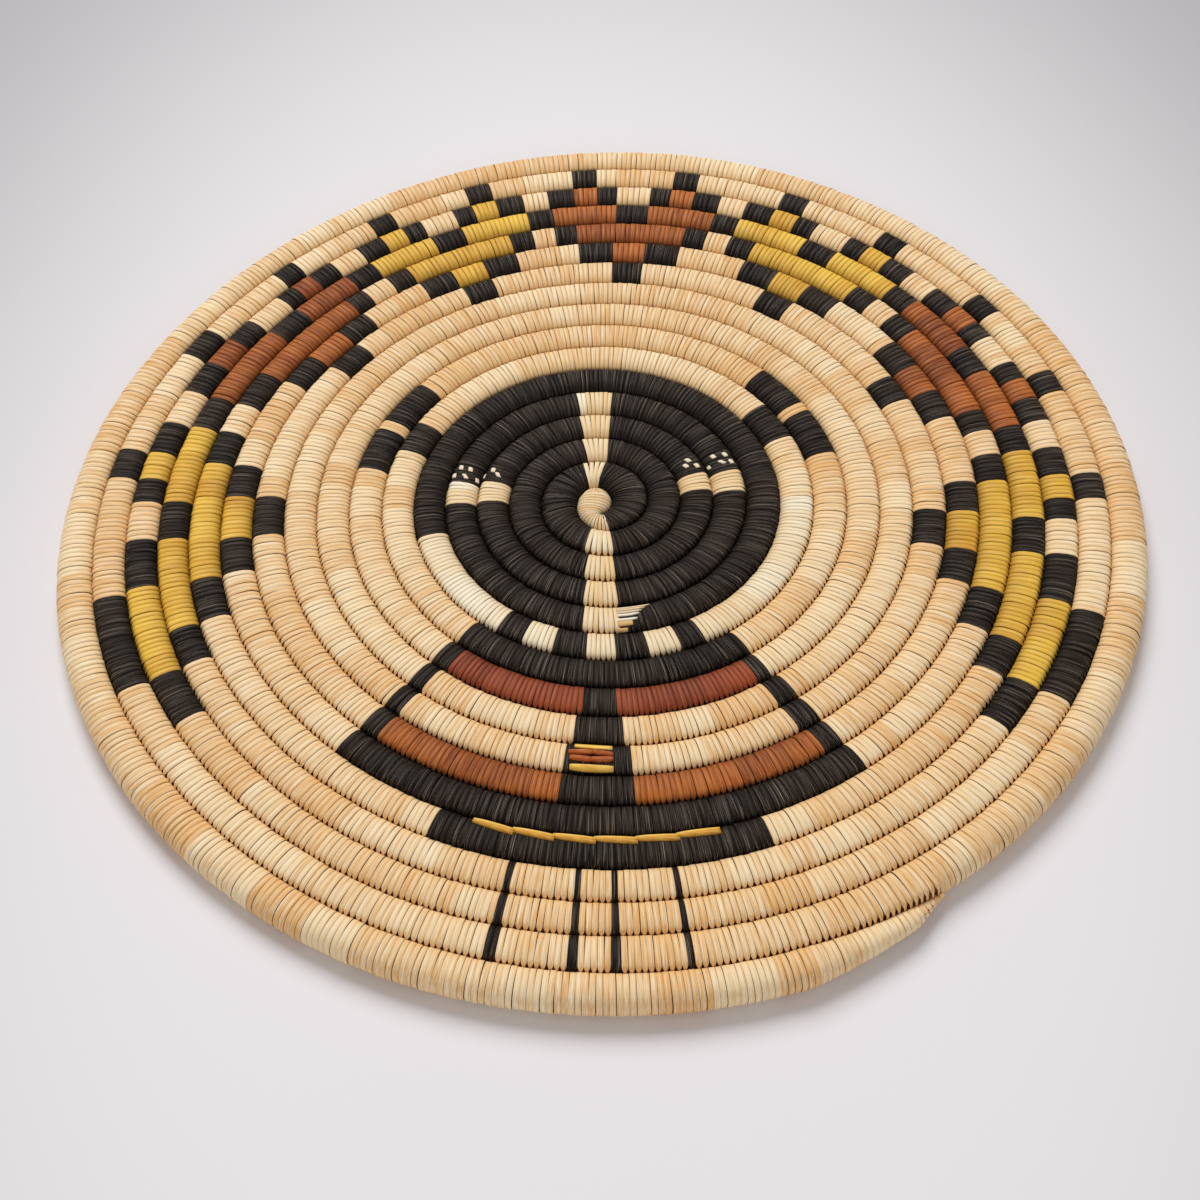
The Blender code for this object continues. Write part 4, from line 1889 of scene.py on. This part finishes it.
@dataclass(frozen=True)
class StartKnot:
    """The start knot: petals round a pinch, and wraps that turn the corner into the first round.

    Attributes:
        shape: The coil that the knot starts.
        petals: Number of wraps that run from the pinch over the knot's far side.
        petal_angles: The first and last angle that they cover.
        pinch: Place of the pinch from the knot's middle.
        dimple: Depth and reach of the hollow there.
        pinch_shades: How much painted shade the petals take from the pinch on, where they crease.
        wraps: Number of wraps from the pinch to the first black stitch.
        wraps_from: Turn of the coil's outer edge where they start.
        inner_ends: Where their inner ends lie on the knot's edge: share of the wraps, and angle.
        bow: How far the first wraps bow towards the pinch.
        bowed: Share of the wraps that do.
        thickness: Thickness of the splint.
        sunk: How much of that lies inside the knot's outline, as a share.
        crown: How high a wrap's edges are, as a share of the thickness.
        shoulder: Where its rounded edges begin, as a share of its width.
        top: Height of the knot.
        core_share: Size of the knot's heart as a share of the whole.
        core_sides: Sides of the heart.
        flatness: The dome's outline, where 2 is round and more is flatter.
    """

    shape: CoilShape
    petals: int = 12
    petal_angles: tuple[float, float] = (10, 170)
    pinch: tuple[float, float] = (-0.3 * MM, 2.2 * MM)
    dimple: tuple[float, float] = (1.5 * MM, 1.3 * MM)
    pinch_shades: tuple[float, ...] = (1.0, 0.55, 0.15)
    wraps: int = 17
    wraps_from: float = 0.46
    inner_ends: tuple[tuple[float, float], ...] = ((0, 14), (0.4, -64), (0.75, -74), (1, -66))
    bow: float = 0.5 * MM
    bowed: float = 0.4
    thickness: float = 0.6 * MM
    sunk: float = 0.6
    crown: float = 0.5
    shoulder: float = 0.38
    top: float = 10.7 * MM
    core_share: float = 0.92
    core_sides: int = 24
    flatness: float = 2.5

    PETAL_SHARES = (0.1, 0.25, 0.42, 0.6, 0.76, 0.88, 0.96, 1.0)
    PETAL_SIZE = 0.97
    PETAL_TONES = (0.55, 0.75, 0.95)
    WRAP_STEPS = 25
    WRAP_OUTLINE = CoilOutline(2.6, 2.6)
    WRAP_WIDTH = 0.98
    WRAP_HEIGHT = 0.96
    WRAP_TONES = (0.45, 0.825, 0.7, 0.575)
    CORE_RINGS = (-0.97, 0.97, 11)
    # Painted shade on the knot's heart, seen in the gaps between its wraps.
    CORE_SHADE = 0.4

    def centre(self) -> np.ndarray:
        """Give the knot's middle in plan."""
        return np.array(self.shape.knot_centre) + np.array(self.shape.origin)

    def dome(self, flat: np.ndarray, size: float) -> np.ndarray:
        """Give points on the knot's dome.

        Args:
            flat: Places on the knot in plan, as shares of its half width and half depth.
            size: Size of the dome as a share of the whole knot.

        Returns:
            The points.
        """
        away = np.linalg.norm(flat, axis=1)
        rise = np.clip(1 - away**self.flatness, 0, 1) ** (1 / self.flatness)
        level = self.top / 2
        plan = self.centre() + flat * np.array(self.shape.knot_half) * size
        return np.column_stack([plan, level * (1 + rise * size)])

    def petal_line(self, angle: float) -> np.ndarray:
        """Give a line between two petals.

        Args:
            angle: Where the line meets the knot's edge.

        Returns:
            Its points, from the pinch over the edge and back below it.
        """
        pinch = np.array(self.pinch) / np.array(self.shape.knot_half)
        edge = np.array([math.cos(math.radians(angle)), math.sin(math.radians(angle))])
        shares = np.array(self.PETAL_SHARES)[:, None]
        above = self.dome(pinch * (1 - shares) + edge * shares, self.PETAL_SIZE)
        below = above[-2::-1].copy()
        below[:, 2] = self.top - below[:, 2]
        away = np.linalg.norm(above[:, :2] - self.centre() - np.array(self.pinch), axis=1)
        depth, reach = self.dimple
        above[:, 2] -= depth * np.exp(-((away / reach) ** 2))
        return np.concatenate([above, below])

    def wrap_line(self, share: float) -> np.ndarray:
        """Give the line between two wraps.

        Args:
            share: How far along the wraps it is, from 0 to 1.

        Returns:
            Its points, once round the bundle.
        """
        turn = self.wraps_from + (self.shape.start - self.wraps_from) * share
        outer = self.shape.edge(np.array([turn]))[0] + np.array(self.shape.origin)
        angle = math.radians(np.interp(share, *zip(*self.inner_ends)))
        way = np.array([math.cos(angle), math.sin(angle)])
        inner = self.centre() + way * np.array(self.shape.knot_half)
        flat, high, _, _ = self.WRAP_OUTLINE.at(np.linspace(0, 360, self.WRAP_STEPS))
        plan = (outer + inner) / 2 + flat[:, None] * (outer - inner) / 2 * self.WRAP_WIDTH
        plan[:, 1] += self.bow * max(0.0, 1 - share / self.bowed) * (1 - flat**2)
        return np.column_stack([plan, self.top / 2 * (1 + self.WRAP_HEIGHT * high)])

    def lay_between(
        self,
        strip: SplintStrip,
        before: np.ndarray,
        after: np.ndarray,
        middle: np.ndarray,
        tone: float,
        painted_shades: tuple[float, ...] = (),
    ) -> None:
        """Lay one wrap between two lines.

        Args:
            strip: The piece.
            before: The line along its first edge.
            after: The line along its second edge.
            middle: A point inside the wrap.
            tone: Its tone.
            painted_shades: How much painted shade its first points take.
        """
        points = (before + after) / 2
        across = after - before
        widths = np.linalg.norm(across, axis=1)
        sides = across / widths[:, None]
        normals = np.cross(np.gradient(points, axis=0), sides)
        normals /= np.linalg.norm(normals, axis=1)[:, None]
        normals *= np.sign(np.sum(normals * (points - middle), axis=1))[:, None]
        points = points - normals * self.thickness * self.sunk
        strip.add(
            points, normals, sides, widths, self.thickness, tone, self.crown, self.shoulder, painted_shades
        )

    def build(self, finish: Material) -> None:
        """Wrap the knot as one piece.

        Args:
            finish: Its material.
        """
        strip = SplintStrip("start_knot_wraps")
        self.add_core(strip)
        middle = np.array([*self.centre(), self.top / 2])
        angles = np.linspace(*self.petal_angles, self.petals + 1)
        edges = [self.petal_line(angle) for angle in angles]
        for number, (before, after) in enumerate(zip(edges, edges[1:])):
            tone = self.PETAL_TONES[number % len(self.PETAL_TONES)]
            self.lay_between(strip, before, after, middle, tone, self.pinch_shades)
        edges = [self.wrap_line(share) for share in np.linspace(0, 1, self.wraps + 1)]
        for number, (before, after) in enumerate(zip(edges, edges[1:])):
            inside = (before.mean(axis=0) + after.mean(axis=0)) / 2
            tone = self.WRAP_TONES[number % len(self.WRAP_TONES)]
            self.lay_between(strip, before, after, inside, tone)
        strip.finish(finish, Splint.NATURAL.value, ["start_knot", "start_wraps"])

    def add_core(self, strip: SplintStrip) -> None:
        """Add the knot's heart, in painted shade, which shows only between its wraps and from below.

        Args:
            strip: The piece.
        """
        level = self.top / 2
        rings = []
        for height in np.linspace(*self.CORE_RINGS):
            share = (1 - abs(height) ** self.flatness) ** (1 / self.flatness)
            angles = math.tau * np.arange(self.core_sides) / self.core_sides
            flat = np.column_stack([np.cos(angles), np.sin(angles)]) * share
            points = self.dome(flat, self.core_share)
            points[:, 2] = level * (1 + height * self.core_share)
            rings.append([strip.new_point(point, 1, self.CORE_SHADE) for point in points])
        faces = [strip.bm.faces.new(rings[0]), strip.bm.faces.new(rings[-1])]
        for ring, above in zip(rings, rings[1:]):
            for step in range(self.core_sides):
                after = (step + 1) % self.core_sides
                faces.append(strip.bm.faces.new((ring[step], ring[after], above[after], above[step])))
        for face in faces:
            face.smooth = True
            for loop in face.loops:
                loop[strip.map_layer].uv = (0.5, 0.5)


# The plaque and the studio


@dataclass
class Plaque:
    """The whole plaque, sewn piece by piece.

    Attributes:
        shape: The coil.
        pattern: Its pattern.
        plan: How its stitches are shared out.
        face_fan_reach: Distance from the middle, in rows, within which the face's light stitches
            fan no further.
        first_seed: Seed of the first piece of stitching, with 1 more for each that follows.
    """

    shape: CoilShape = field(default_factory=CoilShape)
    pattern: Pattern = field(default_factory=Pattern)
    plan: StitchPlan = field(default_factory=StitchPlan)
    face_fan_reach: float = 6.0
    first_seed: int = 20

    FACE = "natural_face"
    RIM = "natural_rim"
    FIGURE_END = 9.9

    def rows(self) -> list[SewnRows]:
        """Give the pieces of stitching and the CAD nodes that each stands for.

        Returns:
            The pieces, in the order in which they are sewn.
        """
        left = {
            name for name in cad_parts
            if not name.startswith(("belt_", "foundation_", "start_"))
        }
        rim, end = self.shape.end - 1, math.inf
        natural, black = Splint.NATURAL, Splint.BLACK
        face_nodes = ("upper_stripe", "lower_stripe", "right_block", "left_block", "collar")
        rows = []
        for name, splint, first, last, starts in (
            (self.FACE, natural, 0, 6, face_nodes),
            ("natural_rounds_6_to_7", natural, 6, 8, ("field_6", "field_7")),
            ("natural_rounds_8_to_9", natural, 8, 10, ("field_8", "field_9", "front_8", "front_9")),
            ("natural_rounds_10_to_12", natural, 10, 13, ("field_10", "field_11", "field_12")),
            (
                "natural_rounds_13_to_14", natural, 13, 15,
                ("field_13", "field_14", "front_13", "front_14"),
            ),
            ("natural_round_15", natural, 15, rim, ("field_15", "front_15")),
            (self.RIM, natural, rim, end, ("field_16", "front_16", "rim_")),
            ("black_face", black, 0, 6, ("right_black", "left_black", "cap_")),
            ("black_figure", black, 6, self.FIGURE_END, ("front_6",)),
            ("black_outer", black, self.FIGURE_END, end, ("front_11", "front_12")),
            ("red_shoulders", Splint.RED, 0, end, ("front_7",)),
            ("rust_stitching", Splint.RUST, 0, end, ("front_10",)),
            ("yellow_clouds", Splint.YELLOW, 0, end, ()),
        ):
            nodes = sorted(node for node in left if node.startswith(starts))
            left.difference_update(nodes)
            rows.append(SewnRows(name, splint, first, last, nodes))
            if name == self.FACE:
                rows[-1].least_fan_reach = self.face_fan_reach
        return rows

    def build(self) -> None:
        """Sew every piece and dress it."""
        groups = SharedGroups()
        finishes = {
            splint: finish.make_material(splint.value, groups)
            for splint, finish in SPLINT_FINISHES.items()
        }
        face = FACE_FINISH.make_material("face_splint", groups)
        grass = GrassFinish().make_material("grass_bundle", groups)
        tape = self.pattern.tape(self.shape)
        GrassBundle().build(self.shape, tape, BundleTree(), grass)
        ruler = CoilRuler(self.shape)
        stitches = self.plan.share_out(tape, ruler)
        log.info("%d stitches on %.2f m of coil", len(stitches.turn), ruler.lengths[-1])
        tree = StitchTree()
        forms = {form: StitchShape(form).build() for form in StitchForm}
        for number, rows in enumerate(self.rows()):
            form = forms[StitchForm.RIM if rows.name == self.RIM else StitchForm.SEWN]
            finish = face if rows.name == self.FACE else finishes[rows.splint]
            rows.build(stitches, self.shape, tree, form, finish, self.first_seed + number)
        for form in forms.values():
            bpy.data.objects.remove(form, do_unlink=True)
        StartKnot(self.shape).build(face)
        laid = {
            splint: finish.make_material(f"laid_{splint.value}", groups)
            for splint, finish in LAID_FINISHES.items()
        }
        Belt().build(self.shape, laid[Splint.YELLOW])
        Mouth().build(self.shape, laid[Splint.YELLOW], laid[Splint.RUST])
        LightMarks().build(self.shape, laid[Splint.NATURAL])


@dataclass(frozen=True)
class Studio:
    """The floor, the lights and the camera.

    Attributes:
        floor_size: Side of the floor.
        target: Where the camera looks.
        elevation: How far down it looks, in degrees.
        distance: How far it is from there.
        lens: Its focal length in mm.
        sensor: Width of its sensor in mm.
        sky: Colour and strength of the even light.
        key: Place, size and power of the lamp behind.
        fill: The same of the low lamp in front.
    """

    floor_size: float = 6.0
    target: tuple[float, float, float] = (-0.00175, -0.03879, 0.0073)
    elevation: float = 51.6
    distance: float = 0.6696
    lens: float = 61.3
    sensor: float = 36.0
    sky: tuple[Colour, float] = ((1.0, 0.965, 0.945), 0.35)
    key: tuple[tuple[float, float, float], float, float] = ((-0.5, 1.8, 2.33), 1.9, 69.0)
    fill: tuple[tuple[float, float, float], float, float] = ((0.2, -2.5, 1.3), 1.2, 11.5)

    def point_at(self, obj: Object, place: Vector, way: Vector) -> None:
        """Put a lamp or the camera at a place, so that it points this way."""
        turned = way.to_track_quat("-Z", "Y").to_matrix().to_4x4()
        obj.matrix_world = Matrix.Translation(place) @ turned

    def build_floor(self) -> None:
        """Lay the floor."""
        mesh = bpy.data.meshes.new("floor")
        half = self.floor_size / 2
        corners = [(-half, -half, 0), (half, -half, 0), (half, half, 0), (-half, half, 0)]
        mesh.from_pydata(corners, [], [(0, 1, 2, 3)])
        mesh.materials.append(FloorFinish().make_material())
        add_object("floor", mesh)

    def build_lights(self) -> None:
        """Hang the even sky and the two soft lamps."""
        world = bpy.data.worlds.new("studio_sky")
        world.use_nodes = True
        colour, strength = self.sky
        background = world.node_tree.nodes["Background"]
        background.inputs["Color"].default_value = (*colour, 1)
        background.inputs["Strength"].default_value = strength
        bpy.context.scene.world = world
        for name, (place, size, power) in (("key_light", self.key), ("fill_light", self.fill)):
            lamp = bpy.data.lights.new(name, "AREA")
            lamp.shape = "DISK"
            lamp.size = size
            lamp.energy = power
            self.point_at(add_object(name, lamp), Vector(place), -Vector(place))

    def build_camera(self) -> None:
        """Set the camera at the photograph's angle."""
        camera = bpy.data.cameras.new("camera")
        camera.lens = self.lens
        camera.sensor_width = self.sensor
        high = math.radians(self.elevation)
        back = Vector((0, -math.cos(high), math.sin(high)))
        obj = add_object("camera", camera)
        self.point_at(obj, Vector(self.target) + back * self.distance, -back)
        bpy.context.scene.camera = obj

    def build(self) -> None:
        """Build the whole studio."""
        self.build_floor()
        self.build_lights()
        self.build_camera()
        bpy.context.scene.view_settings.view_transform = "Standard"


def main() -> None:
    """Build the studio and the plaque."""
    logging.basicConfig(level=logging.INFO, format="%(message)s")
    Studio().build()
    Plaque().build()


if __name__ == "__main__":
    main()
